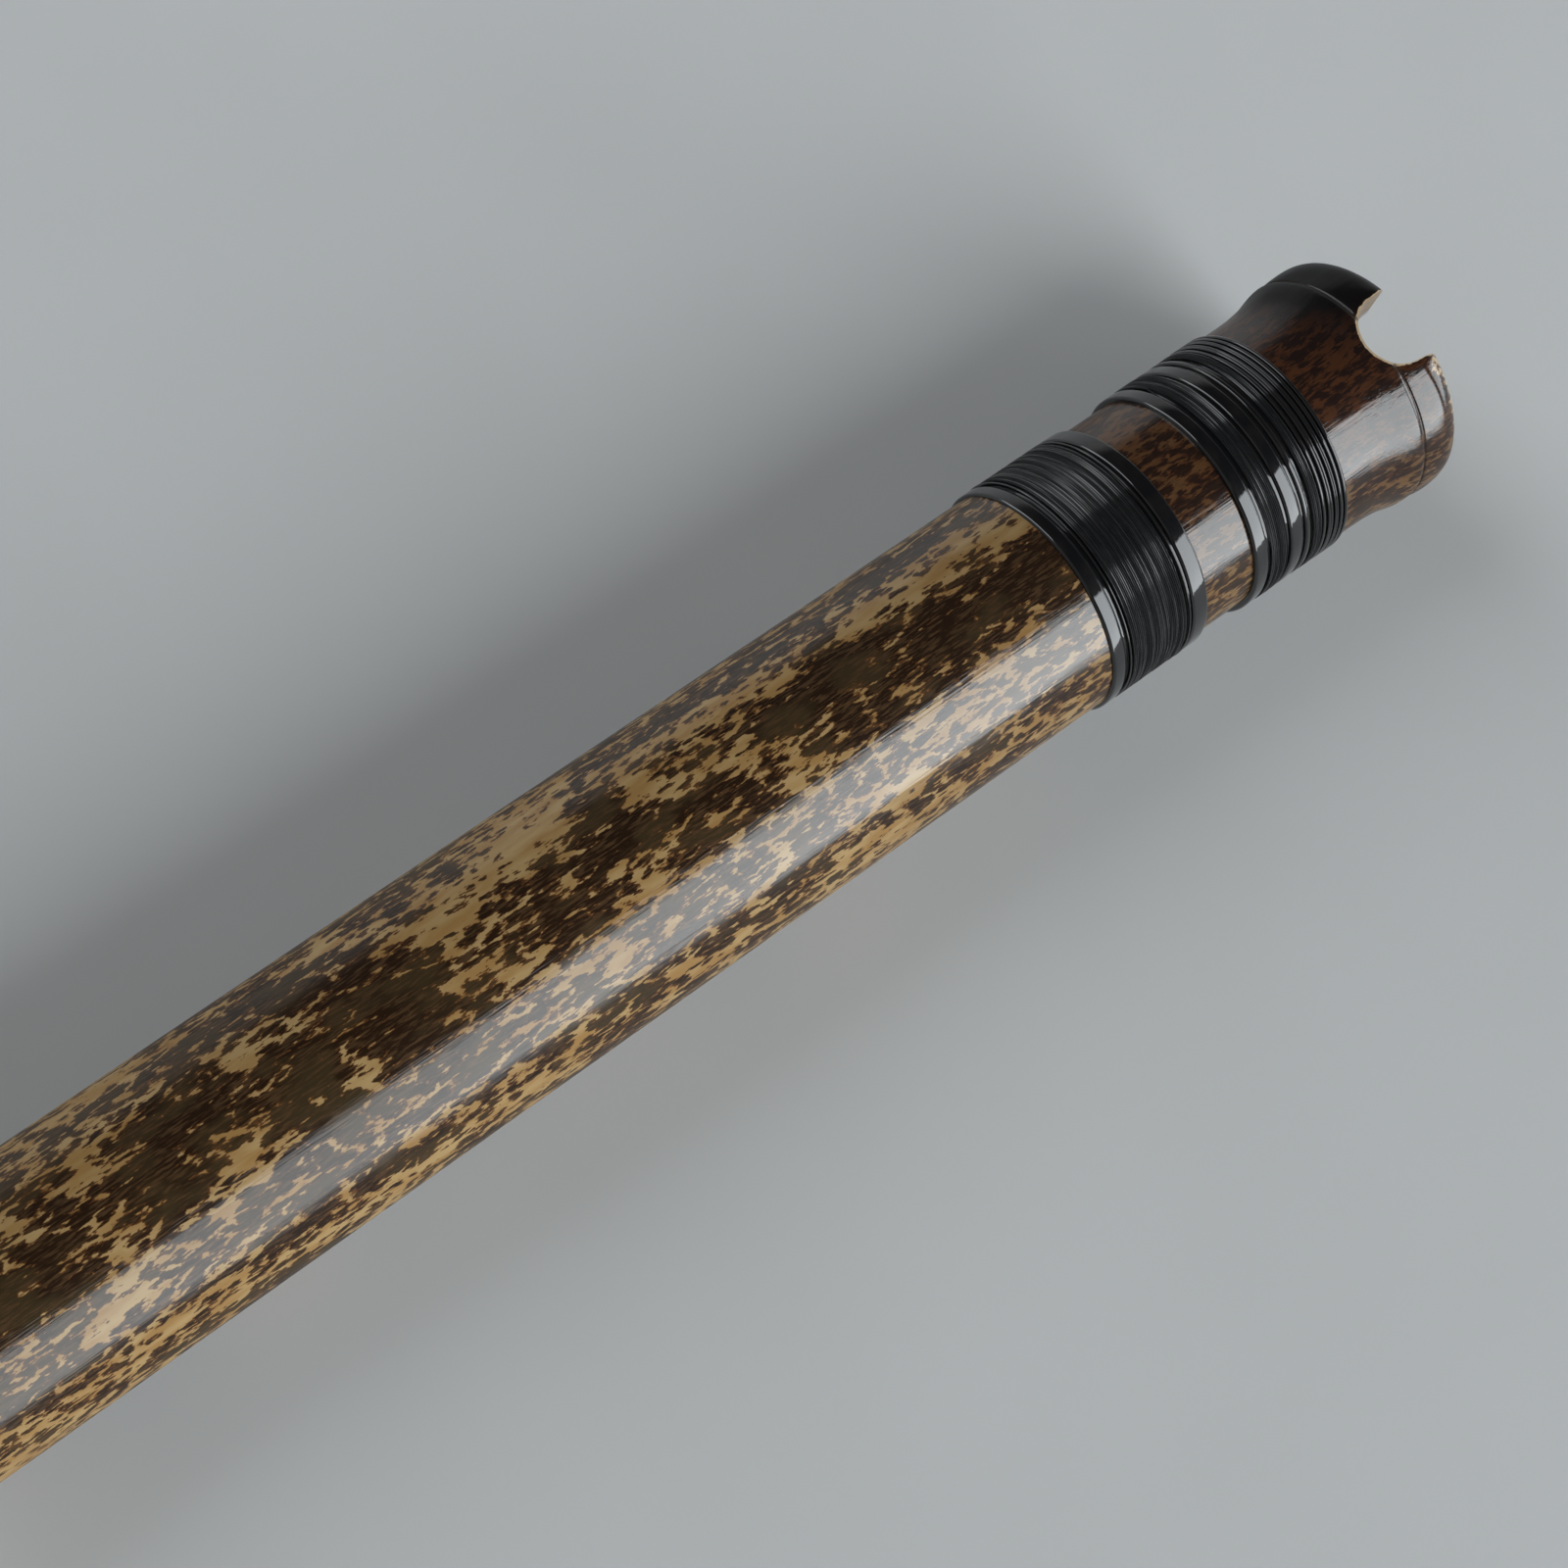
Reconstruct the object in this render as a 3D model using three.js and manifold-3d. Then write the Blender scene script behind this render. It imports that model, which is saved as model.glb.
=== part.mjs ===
// A shakuhachi in two sections: bamboo culms with a lacquered bore, a U-shaped blowing notch,
// thread bindings on lacquered beds, and a tenon joint in the middle.
// Millimetres, +Z up. The flute lies along X on the ground plane, its mouth towards +X,
// its notch and front finger holes up. Places along it are measured from the mouth end.

import * as THREE from 'three';
import { mergeVertices } from 'three/addons/utils/BufferGeometryUtils.js';
import Module from 'manifold-3d';

const wasm = await Module();
wasm.setup();

// Facets
const SIDES = 24; // round every culm, lining, bed and ring
const HOLE_SIDES = 20; // round a finger hole
const NOTCH_ARC_STEPS = 14; // round the bottom of the notch

// Clearances
const CLEARANCE = 0.3; // between a piece and its seat
const CUT_OVERRUN = 3; // how far a cutting tool runs past a face

// Overall
const FLUTE_LENGTH = 636; // mouth end to foot end
const HEAD_LENGTH = 259; // mouth end to the joint face
const BEND_START_SHARE = 0.52; // of the length: from here the culm curves up to its root end

// Bore
const CULM_BORE_RADIUS = 11.2; // bare bamboo
const LINING_WALL = 0.9; // lacquer ground at the head
const CHOKE_RADIUS = 8.5; // narrowest place of the bore
const FOOT_BORE_RADIUS = 9.5;
const CHOKE_SHARE = 0.65; // of the body lining's length
const BORE_STATION_SHARES = [0, 0.16, 0.35, 0.5, 0.65, 0.78, 0.9, 1]; // of the body lining's length

// Tenon joint, from the bore outwards
const TENON_HELD_LENGTH = 24; // inside the head culm
const TENON_DEPTH = 20; // inside the socket
const TENON_WALL = 2.75;
const TENON_WAIST_DEPTH = 0.75; // for the packing
const TENON_COLLAR = 2.7; // at each end of the waist
const PACKING_HEIGHT = 0.15; // over the tenon's collars
const SLEEVE_WALL = 1;
const SOCKET_WALL = 1.7; // bamboo between socket and ring
const RING_WIDTH = 8;
const RING_WALL = 1.4;
const RING_STEP = 0.7; // over the culm beside it
const RING_CHAMFER = 0.35;

// Head culm, outside, from the joint to the mouth
const UPPER_TAPER = 0.25; // of the radius, from the joint to the neck binding
const WAIST_DEPTH = 0.2; // between the two bindings, under the culm below them
const NECK_RISE = 0.3; // from the waist to the foot of the flare
const MOUTH_FLARE_LENGTH = 21.7;
const MOUTH_FLARE_HEIGHT = 1.5;
// Share of the flare's length, and share of its height over the neck
const MOUTH_FLARE_SHARES = [
  [0, -0.9], [0.02, -0.25], [0.05, 0.42], [0.095, 0.83], [0.15, 0.985], [0.21, 1], [0.29, 0.97],
  [0.345, 0.86], [0.395, 0.92], [0.46, 0.72], [0.55, 0.4], [0.62, 0.2], [0.71, 0.05], [1, 0],
];

// Blowing notch
const NOTCH_RADIUS = 5.5; // of its round bottom
const NOTCH_WIDTH = 11.8; // between its tips at the mouth end
const NOTCH_DEPTH = 9.6; // along the culm's outside
const NOTCH_SLANT = THREE.MathUtils.degToRad(20); // its bottom falls towards the bore

// Body culm, outside
const ROOT_GROWTH = 5.7; // of the radius, from the joint to the thickest place
const NODE_RIDGE = 1.1; // how far a node stands out
const NODE_HALF_WIDTH = 2.6;
// Share of the body's length, and share of the root's growth
const BODY_GROWTH_SHARES = [
  [0, 0], [0.17, 0.03], [0.4, 0.105], [0.54, 0.175], [0.65, 0.35],
  [0.75, 0.545], [0.835, 0.77], [0.917, 1], [0.98, 0.94], [1, 0.66],
];
const NODE_SHARES = [0.039, 0.398, 0.604, 0.718, 0.809, 0.876, 0.922, 0.959]; // of its length

// Finger holes
const HOLE_RADIUS = 5.25;
const THUMB_HOLE_OFFSET = 7.5; // socket's end to the hole's middle
const FIRST_HOLE_SHARE = 0.04; // of the flute's length, from the thumb hole
const HOLE_SPACING_SHARE = 0.1; // of the flute's length
const FRONT_HOLES = 4;

// Bindings
const BINDING_WIDTH = 17.6;
const SHOULDER_WIDTH = 2; // smooth lacquered edge on each side of the turns
const SHOULDER_HEIGHT = 0.55; // over the culm
const BED_WALL = 0.5; // under the turns
const BINDING_SPACING = 9; // between the mouth binding and the neck binding

// Thread of the bindings
const THREAD_RADIUS = 0.31;
const THREAD_SIDES = 5;
const THREAD_LOOPS = 9;
const THREAD_STEPS = 20; // in one loop
const THREAD_HEIGHT = 0.65; // its crest over the culm
const THREAD_BEND_RADIUS = 0.75; // where its end turns along the flute
const THREAD_BEND_STEPS = 4;

// Radii, from the bore outwards
const LINING_RADIUS = CULM_BORE_RADIUS - CLEARANCE;
const BORE_RADIUS = LINING_RADIUS - LINING_WALL;
const TENON_RADIUS = BORE_RADIUS + TENON_WALL;
const TENON_WAIST_RADIUS = TENON_RADIUS - TENON_WAIST_DEPTH;
const PACKING_RADIUS = TENON_RADIUS + PACKING_HEIGHT;
const SLEEVE_RADIUS = PACKING_RADIUS + CLEARANCE + SLEEVE_WALL;
const SOCKET_RADIUS = SLEEVE_RADIUS + CLEARANCE;
const RING_SEAT_RADIUS = SOCKET_RADIUS + SOCKET_WALL;
const RING_RADIUS = RING_SEAT_RADIUS + CLEARANCE + RING_WALL;
const JOINT_CULM_RADIUS = RING_RADIUS - RING_STEP;
const UPPER_CULM_RADIUS = JOINT_CULM_RADIUS - UPPER_TAPER;
const WAIST_RADIUS = UPPER_CULM_RADIUS - WAIST_DEPTH;
const NECK_RADIUS = WAIST_RADIUS + NECK_RISE;
const MOUTH_RIDGE_RADIUS = NECK_RADIUS + MOUTH_FLARE_HEIGHT;
const ROOT_RADIUS = JOINT_CULM_RADIUS + ROOT_GROWTH;
const AXIS_HEIGHT = MOUTH_RIDGE_RADIUS; // the flute lies on its mouth ridge

// Places, from the mouth end
const TENON_START = HEAD_LENGTH - TENON_HELD_LENGTH;
const HEAD_BORE_END = TENON_START - CLEARANCE;
const BODY_START = HEAD_LENGTH + CLEARANCE;
const BODY_LENGTH = FLUTE_LENGTH - BODY_START;
const TENON_END = HEAD_LENGTH + TENON_DEPTH;
const BODY_LINING_START = TENON_END + CLEARANCE;
const BODY_LINING_LENGTH = FLUTE_LENGTH - BODY_LINING_START;
const BEND_START = BEND_START_SHARE * FLUTE_LENGTH;
const THUMB_HOLE_PLACE = BODY_LINING_START + THUMB_HOLE_OFFSET;
const FRONT_HOLE_PLACES = Array.from(
  { length: FRONT_HOLES },
  (_, hole) => THUMB_HOLE_PLACE + (FIRST_HOLE_SHARE + hole * HOLE_SPACING_SHARE) * FLUTE_LENGTH,
);
const NODE_PLACES = NODE_SHARES.map((share) => BODY_START + share * BODY_LENGTH);

// Finishes
const MOTTLED_BAMBOO = { color: 0x5b4120, roughness: 0.3, metalness: 0 };
const BLACK_LACQUER = { color: 0x0b0b0d, roughness: 0.15, metalness: 0 };
const BLACK_THREAD = { color: 0x131315, roughness: 0.6, metalness: 0 };
const BORE_LACQUER = { color: 0x3a0d09, roughness: 0.25, metalness: 0 };
const TENON_WOOD = { color: 0x9c7440, roughness: 0.55, metalness: 0 };
const PACKING_THREAD = { color: 0x8f2a1c, roughness: 0.8, metalness: 0 };
const NICKEL_SILVER = { color: 0xb9b3a4, roughness: 0.3, metalness: 1 };

// Value at x in a table of [x, value] rows, on straight lines between them
function interpolate(table, x) {
  const next = table.findIndex(([place]) => place >= x);
  if (next < 1) {
    return next === 0 ? table[0][1] : table[table.length - 1][1];
  }
  const [x0, y0] = table[next - 1];
  const [x1, y1] = table[next];
  return THREE.MathUtils.mapLinear(x, x0, x1, y0, y1);
}

// Outside radius of the body culm, with its nodes
function bodyRadius(place) {
  const growthShare = interpolate(BODY_GROWTH_SHARES, (place - BODY_START) / BODY_LENGTH);
  const bare = THREE.MathUtils.lerp(JOINT_CULM_RADIUS, ROOT_RADIUS, growthShare);
  const nearest = Math.min(...NODE_PLACES.map((node) => Math.abs(place - node)));
  return bare + NODE_RIDGE * Math.max(0, 1 - nearest / NODE_HALF_WIDTH);
}

// Places where the body culm's outside changes its slope
function bodyStations() {
  const places = [
    ...BODY_GROWTH_SHARES.map(([share]) => BODY_START + share * BODY_LENGTH),
    ...NODE_PLACES.flatMap((node) => [node - NODE_HALF_WIDTH, node, node + NODE_HALF_WIDTH]),
  ];
  const sorted = places.sort((a, b) => a - b);
  return sorted.filter((place, i) => i === 0 || place - sorted[i - 1] > CLEARANCE);
}

// Share of the full rise that the centre line has at a place
function bendShare(place) {
  return (Math.max(0, place - BEND_START) / (FLUTE_LENGTH - BEND_START)) ** 2;
}

// Rise of the centre line at the foot, so that the root just touches the ground
const FOOT_RISE = Math.max(
  ...bodyStations()
    .filter((place) => place > BEND_START)
    .map((place) => (bodyRadius(place) - AXIS_HEIGHT) / bendShare(place)),
);

// Height of the centre line over the head's axis
function centreRise(place) {
  return FOOT_RISE * bendShare(place);
}

// Radius of the corners of a regular polygon whose flats lie at the given radius
function cornerRadius(radius) {
  return radius / Math.cos(Math.PI / SIDES);
}

// Solid of rings along the flute. The profile is a closed list of [place, radius], first along
// the outside away from the mouth, then back along the inside.
function ringSolid(profile) {
  const positions = [];
  const indices = [];
  profile.forEach(([place, radius], row) => {
    const nextRow = (row + 1) % profile.length;
    for (let side = 0; side < SIDES; side += 1) {
      const angle = ((side + 0.5) / SIDES) * 2 * Math.PI;
      const y = cornerRadius(radius) * Math.cos(angle);
      const z = centreRise(place) + cornerRadius(radius) * Math.sin(angle);
      positions.push(-place, y, z);
      const nextSide = (side + 1) % SIDES;
      const a = row * SIDES + side;
      const b = row * SIDES + nextSide;
      const c = nextRow * SIDES + nextSide;
      const d = nextRow * SIDES + side;
      indices.push(a, d, b, b, d, c);
    }
  });
  const geometry = new THREE.BufferGeometry();
  geometry.setAttribute('position', new THREE.Float32BufferAttribute(positions, 3));
  geometry.setIndex(indices);
  return geometry;
}

// Closed geometry as a solid that can be cut
function toSolid(geometry) {
  const bare = geometry.clone();
  bare.deleteAttribute('normal');
  bare.deleteAttribute('uv');
  const merged = mergeVertices(bare);
  return new wasm.Manifold(new wasm.Mesh({
    numProp: 3,
    vertProperties: new Float32Array(merged.attributes.position.array),
    triVerts: new Uint32Array(merged.index.array),
  }));
}

// Solid back to a geometry
function toGeometry(solid) {
  const mesh = solid.getMesh();
  const geometry = new THREE.BufferGeometry();
  geometry.setAttribute('position', new THREE.Float32BufferAttribute(mesh.vertProperties, 3));
  geometry.setIndex(Array.from(mesh.triVerts));
  return geometry;
}

// Geometry with each cutter taken away
function cut(geometry, cutters) {
  return toGeometry(cutters.reduce((solid, cutter) => solid.subtract(cutter), toSolid(geometry)));
}

// Cutter of the blowing notch: a U outline, slanted so that its bottom falls towards the bore
function notchCutter() {
  const centre = NOTCH_DEPTH - NOTCH_RADIUS;
  const outline = new THREE.Shape();
  outline.moveTo(CUT_OVERRUN, -NOTCH_WIDTH / 2);
  outline.lineTo(CUT_OVERRUN, NOTCH_WIDTH / 2);
  outline.lineTo(0, NOTCH_WIDTH / 2);
  for (let step = 0; step <= NOTCH_ARC_STEPS; step += 1) {
    const angle = Math.PI / 2 + (step / NOTCH_ARC_STEPS) * Math.PI;
    outline.lineTo(-centre + NOTCH_RADIUS * Math.cos(angle), NOTCH_RADIUS * Math.sin(angle));
  }
  outline.lineTo(0, -NOTCH_WIDTH / 2);
  const height = MOUTH_RIDGE_RADIUS + CUT_OVERRUN;
  const tool = new THREE.ExtrudeGeometry(outline, { depth: height, bevelEnabled: false });
  // The outline keeps its place at the height of the culm's outside
  const slope = Math.tan(NOTCH_SLANT);
  tool.applyMatrix4(new THREE.Matrix4().makeShear(0, 0, 0, 0, -slope, 0));
  tool.translate(MOUTH_RIDGE_RADIUS * slope, 0, 0);
  return toSolid(tool);
}

// Cutter of a finger hole: side is 1 at the front and -1 at the back
function holeCutter(place, side) {
  const reach = bodyRadius(place) + CUT_OVERRUN;
  const tool = new THREE.CylinderGeometry(HOLE_RADIUS, HOLE_RADIUS, reach, HOLE_SIDES);
  tool.rotateX(Math.PI / 2);
  tool.translate(-place, 0, centreRise(place) + (side * reach) / 2);
  return toSolid(tool);
}

// All finger holes
function holeCutters() {
  const front = FRONT_HOLE_PLACES.map((place) => holeCutter(place, 1));
  return [...front, holeCutter(THUMB_HOLE_PLACE, -1)];
}

// Radii of one binding, from the culm radii at its two sides
function bindingSizes(start, radiusBefore, radiusAfter) {
  const seat = (radiusBefore + radiusAfter) / 2;
  const wound = seat + THREAD_HEIGHT - THREAD_RADIUS;
  const chordRadius = wound * Math.cos(Math.PI / THREAD_STEPS);
  const bed = (chordRadius - THREAD_RADIUS - CLEARANCE) * Math.cos(Math.PI / SIDES);
  return {
    start,
    end: start + BINDING_WIDTH,
    before: radiusBefore,
    after: radiusAfter,
    wound,
    bed,
    shoulder: seat + SHOULDER_HEIGHT,
    inside: bed - BED_WALL,
  };
}

// Groove that the binding lies in, as part of a culm's outside profile
function recess({ start, end, before, after, inside }) {
  const floor = inside - CLEARANCE;
  return [
    [start - CLEARANCE, before],
    [start - CLEARANCE, floor],
    [end + CLEARANCE, floor],
    [end + CLEARANCE, after],
  ];
}

// Binding on the body culm, half way between two finger holes
function bodyBinding(hole, nextHole) {
  const start = (FRONT_HOLE_PLACES[hole] + FRONT_HOLE_PLACES[nextHole] - BINDING_WIDTH) / 2;
  return bindingSizes(start, bodyRadius(start), bodyRadius(start + BINDING_WIDTH));
}

const MOUTH_BINDING = bindingSizes(MOUTH_FLARE_LENGTH + CLEARANCE, NECK_RADIUS, WAIST_RADIUS);
const NECK_BINDING = bindingSizes(
  MOUTH_BINDING.end + BINDING_SPACING,
  WAIST_RADIUS,
  UPPER_CULM_RADIUS,
);
const UPPER_BODY_BINDING = bodyBinding(0, 1);
const LOWER_BODY_BINDING = bodyBinding(2, 3);

// Upper bamboo section, with the mouth flare and the notch
function headCulm() {
  const flare = MOUTH_FLARE_SHARES.map(([alongShare, heightShare]) => [
    alongShare * MOUTH_FLARE_LENGTH,
    NECK_RADIUS + heightShare * MOUTH_FLARE_HEIGHT,
  ]);
  const ringEdge = HEAD_LENGTH - RING_WIDTH - CLEARANCE;
  const tube = ringSolid([
    ...flare.slice(0, -1),
    ...recess(MOUTH_BINDING),
    ...recess(NECK_BINDING),
    [ringEdge, JOINT_CULM_RADIUS],
    [ringEdge, RING_SEAT_RADIUS],
    [HEAD_LENGTH, RING_SEAT_RADIUS],
    [HEAD_LENGTH, TENON_RADIUS + CLEARANCE],
    [HEAD_BORE_END, TENON_RADIUS + CLEARANCE],
    [HEAD_BORE_END, CULM_BORE_RADIUS],
    [0, CULM_BORE_RADIUS],
  ]);
  return cut(tube, [notchCutter()]);
}

// Lacquered lining of the head's bore
function headBoreLining() {
  const tube = ringSolid([
    [0, LINING_RADIUS],
    [HEAD_BORE_END, LINING_RADIUS],
    [HEAD_BORE_END, BORE_RADIUS],
    [0, BORE_RADIUS],
  ]);
  return cut(tube, [notchCutter()]);
}

// Places of the rings along the body's bore
function boreStations() {
  return BORE_STATION_SHARES.map((share) => BODY_LINING_START + share * BODY_LINING_LENGTH);
}

// Lower bamboo section, with its nodes, root end, socket and finger holes
function bodyCulm() {
  const bindings = [UPPER_BODY_BINDING, LOWER_BODY_BINDING];
  const ringEdge = BODY_START + RING_WIDTH + CLEARANCE;
  const inBinding = (place) => bindings.some(
    ({ start, end }) => place > start - CLEARANCE && place < end + CLEARANCE,
  );
  const bare = bodyStations().filter((place) => place > ringEdge && !inBinding(place));
  const outside = [...bare.map((place) => [place, bodyRadius(place)]), ...bindings.flatMap(recess)];
  outside.sort(([a], [b]) => a - b);
  const bore = boreStations().reverse().map((place) => [place, CULM_BORE_RADIUS]);
  const tube = ringSolid([
    [BODY_START, RING_SEAT_RADIUS],
    [ringEdge, RING_SEAT_RADIUS],
    [ringEdge, bodyRadius(ringEdge)],
    ...outside,
    ...bore,
    [BODY_LINING_START, SOCKET_RADIUS],
    [BODY_START, SOCKET_RADIUS],
  ]);
  return cut(tube, holeCutters());
}

// Lacquered lining of the body's bore: it narrows to the choke and opens again to the foot
function bodyBoreLining() {
  const choke = BODY_LINING_START + CHOKE_SHARE * BODY_LINING_LENGTH;
  const boreTable = [
    [BODY_LINING_START, BORE_RADIUS],
    [choke, CHOKE_RADIUS],
    [FLUTE_LENGTH, FOOT_BORE_RADIUS],
  ];
  const outside = boreStations().map((place) => [place, LINING_RADIUS]);
  const inside = boreStations().reverse().map((place) => [place, interpolate(boreTable, place)]);
  return cut(ringSolid([...outside, ...inside]), holeCutters());
}

// Lacquered bed of a binding, with a smooth shoulder on each side of the turns
function bindingBed({ start, end, bed, shoulder, inside }) {
  return ringSolid([
    [start, shoulder],
    [start + SHOULDER_WIDTH, shoulder],
    [start + SHOULDER_WIDTH, bed],
    [end - SHOULDER_WIDTH, bed],
    [end - SHOULDER_WIDTH, shoulder],
    [end, shoulder],
    [end, inside],
    [start, inside],
  ]);
}

// Route of a binding's thread as [place, distance round the culm]: it leaves one shoulder square
// to it, bends into its loops, and bends back to meet the other shoulder
function threadRoute({ start, end, wound }) {
  const first = start + SHOULDER_WIDTH + CLEARANCE;
  const last = end - SHOULDER_WIDTH - CLEARANCE;
  const diameter = 2 * THREAD_RADIUS;
  const loopsStart = first + diameter + THREAD_BEND_RADIUS;
  const loopsEnd = last - diameter - THREAD_BEND_RADIUS;
  const loopsLength = THREAD_LOOPS * 2 * Math.PI * wound;
  const bend = [];
  for (let step = 0; step < THREAD_BEND_STEPS; step += 1) {
    const angle = (step / THREAD_BEND_STEPS) * (Math.PI / 2);
    bend.push([
      THREAD_BEND_RADIUS * (1 - Math.sin(angle)),
      THREAD_BEND_RADIUS * Math.cos(angle),
    ]);
  }
  const opening = bend.map(([along, round]) => [loopsStart - along, round - THREAD_BEND_RADIUS]);
  const closing = bend.map(([along, round]) => [
    loopsEnd + along,
    loopsLength + THREAD_BEND_RADIUS - round,
  ]);
  const steps = THREAD_LOOPS * THREAD_STEPS;
  const loops = Array.from({ length: steps + 1 }, (_, step) => [
    THREE.MathUtils.lerp(loopsStart, loopsEnd, step / steps),
    (loopsLength * step) / steps,
  ]);
  return [
    [first, 0],
    ...opening,
    ...loops,
    ...closing.reverse(),
    [last, loopsLength],
  ];
}

// Thread of a binding: one unbroken tube
function bindingWinding(binding) {
  const route = threadRoute(binding).map(([place, round]) => {
    const angle = round / binding.wound;
    const radial = new THREE.Vector3(0, Math.sin(angle), -Math.cos(angle));
    const centre = new THREE.Vector3(-place, 0, centreRise(place));
    return { point: centre.addScaledVector(radial, binding.wound), radial };
  });
  const positions = [];
  const indices = [];
  route.forEach(({ point, radial }, row) => {
    const before = route[Math.max(row - 1, 0)].point;
    const after = route[Math.min(row + 1, route.length - 1)].point;
    const tangent = after.clone().sub(before).normalize();
    const sideways = tangent.clone().cross(radial).normalize();
    const outwards = sideways.clone().cross(tangent);
    for (let side = 0; side < THREAD_SIDES; side += 1) {
      const angle = (side / THREAD_SIDES) * 2 * Math.PI;
      const corner = point.clone()
        .addScaledVector(outwards, THREAD_RADIUS * Math.cos(angle))
        .addScaledVector(sideways, THREAD_RADIUS * Math.sin(angle));
      positions.push(...corner.toArray());
      if (row > 0) {
        const nextSide = (side + 1) % THREAD_SIDES;
        const a = (row - 1) * THREAD_SIDES + side;
        const b = (row - 1) * THREAD_SIDES + nextSide;
        const c = row * THREAD_SIDES + nextSide;
        const d = row * THREAD_SIDES + side;
        indices.push(a, b, d, b, c, d);
      }
    }
  });
  const lastRow = (route.length - 1) * THREAD_SIDES;
  for (let side = 1; side < THREAD_SIDES - 1; side += 1) {
    indices.push(0, side + 1, side);
    indices.push(lastRow, lastRow + side, lastRow + side + 1);
  }
  const geometry = new THREE.BufferGeometry();
  geometry.setAttribute('position', new THREE.Float32BufferAttribute(positions, 3));
  geometry.setIndex(indices);
  return { geometry, points: route.map(({ point }) => point) };
}

// Least gap of a wound tube to itself, measured between points at least half a loop apart
function leastGap(points) {
  let least = Infinity;
  points.forEach((point, i) => {
    for (let j = i + THREAD_STEPS / 2; j < points.length; j += 1) {
      least = Math.min(least, point.distanceTo(points[j]));
    }
  });
  return least - 2 * THREAD_RADIUS;
}

// Tenon of the joint: held in the head culm, with a waist for the packing
function tenon() {
  return ringSolid([
    [TENON_START, TENON_RADIUS],
    [HEAD_LENGTH + TENON_COLLAR, TENON_RADIUS],
    [HEAD_LENGTH + TENON_COLLAR, TENON_WAIST_RADIUS],
    [TENON_END - TENON_COLLAR, TENON_WAIST_RADIUS],
    [TENON_END - TENON_COLLAR, TENON_RADIUS],
    [TENON_END, TENON_RADIUS],
    [TENON_END, BORE_RADIUS],
    [TENON_START, BORE_RADIUS],
  ]);
}

// Packing in the tenon's waist
function tenonPacking() {
  const start = HEAD_LENGTH + TENON_COLLAR + CLEARANCE;
  const end = TENON_END - TENON_COLLAR - CLEARANCE;
  return ringSolid([
    [start, PACKING_RADIUS],
    [end, PACKING_RADIUS],
    [end, TENON_WAIST_RADIUS + CLEARANCE],
    [start, TENON_WAIST_RADIUS + CLEARANCE],
  ]);
}

// Sleeve that lines the socket in the body culm
function socketSleeve() {
  return ringSolid([
    [BODY_START, SLEEVE_RADIUS],
    [TENON_END, SLEEVE_RADIUS],
    [TENON_END, SLEEVE_RADIUS - SLEEVE_WALL],
    [BODY_START, SLEEVE_RADIUS - SLEEVE_WALL],
  ]);
}

// Ring round a culm's end at the joint
function jointRing(start) {
  const end = start + RING_WIDTH;
  return ringSolid([
    [start, RING_RADIUS - RING_CHAMFER],
    [start + RING_CHAMFER, RING_RADIUS],
    [end - RING_CHAMFER, RING_RADIUS],
    [end, RING_RADIUS - RING_CHAMFER],
    [end, RING_RADIUS - RING_WALL],
    [start, RING_RADIUS - RING_WALL],
  ]);
}

// Named mesh with a material of its own
function piece(name, geometry, finish) {
  const mesh = new THREE.Mesh(geometry, new THREE.MeshStandardMaterial(finish));
  mesh.name = name;
  return mesh;
}

// Bed and winding of one binding
function bindingPieces(name, binding) {
  const { geometry, points } = bindingWinding(binding);
  console.log(`${name}_winding: least gap to itself ${leastGap(points).toFixed(3)} mm`);
  return [
    piece(`${name}_bed`, bindingBed(binding), BLACK_LACQUER),
    piece(`${name}_winding`, geometry, BLACK_THREAD),
  ];
}

// Upper section: everything that comes off with the head
const headSection = new THREE.Group();
headSection.add(
  piece('head_culm', headCulm(), MOTTLED_BAMBOO),
  piece('head_bore_lining', headBoreLining(), BORE_LACQUER),
  ...bindingPieces('mouth_binding', MOUTH_BINDING),
  ...bindingPieces('neck_binding', NECK_BINDING),
  piece('tenon', tenon(), TENON_WOOD),
  piece('tenon_packing', tenonPacking(), PACKING_THREAD),
  piece('head_joint_ring', jointRing(HEAD_LENGTH - RING_WIDTH), NICKEL_SILVER),
);

// Lower section, down to the root end
const bodySection = new THREE.Group();
bodySection.add(
  piece('body_culm', bodyCulm(), MOTTLED_BAMBOO),
  piece('body_bore_lining', bodyBoreLining(), BORE_LACQUER),
  piece('socket_sleeve', socketSleeve(), BORE_LACQUER),
  piece('body_joint_ring', jointRing(BODY_START), NICKEL_SILVER),
  ...bindingPieces('upper_body_binding', UPPER_BODY_BINDING),
  ...bindingPieces('lower_body_binding', LOWER_BODY_BINDING),
);

const flute = new THREE.Group();
flute.add(headSection, bodySection);
flute.position.set(FLUTE_LENGTH / 2, 0, AXIS_HEIGHT);

export default flute;
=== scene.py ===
"""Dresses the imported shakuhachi: mottled bamboo under clear lacquer, bindings, joint, root end.

Lengths are millimetres here and become metres when a mesh is made. Places along the flute are
measured from its mouth end, and angles round it, in radians, from its top towards the -Y side.
"""

import logging
import math
from abc import ABC, abstractmethod
from collections.abc import Callable, Iterable, Sequence
from dataclasses import dataclass
from enum import Enum

import bpy
import numpy as np
from mathutils import Matrix, Vector


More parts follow.
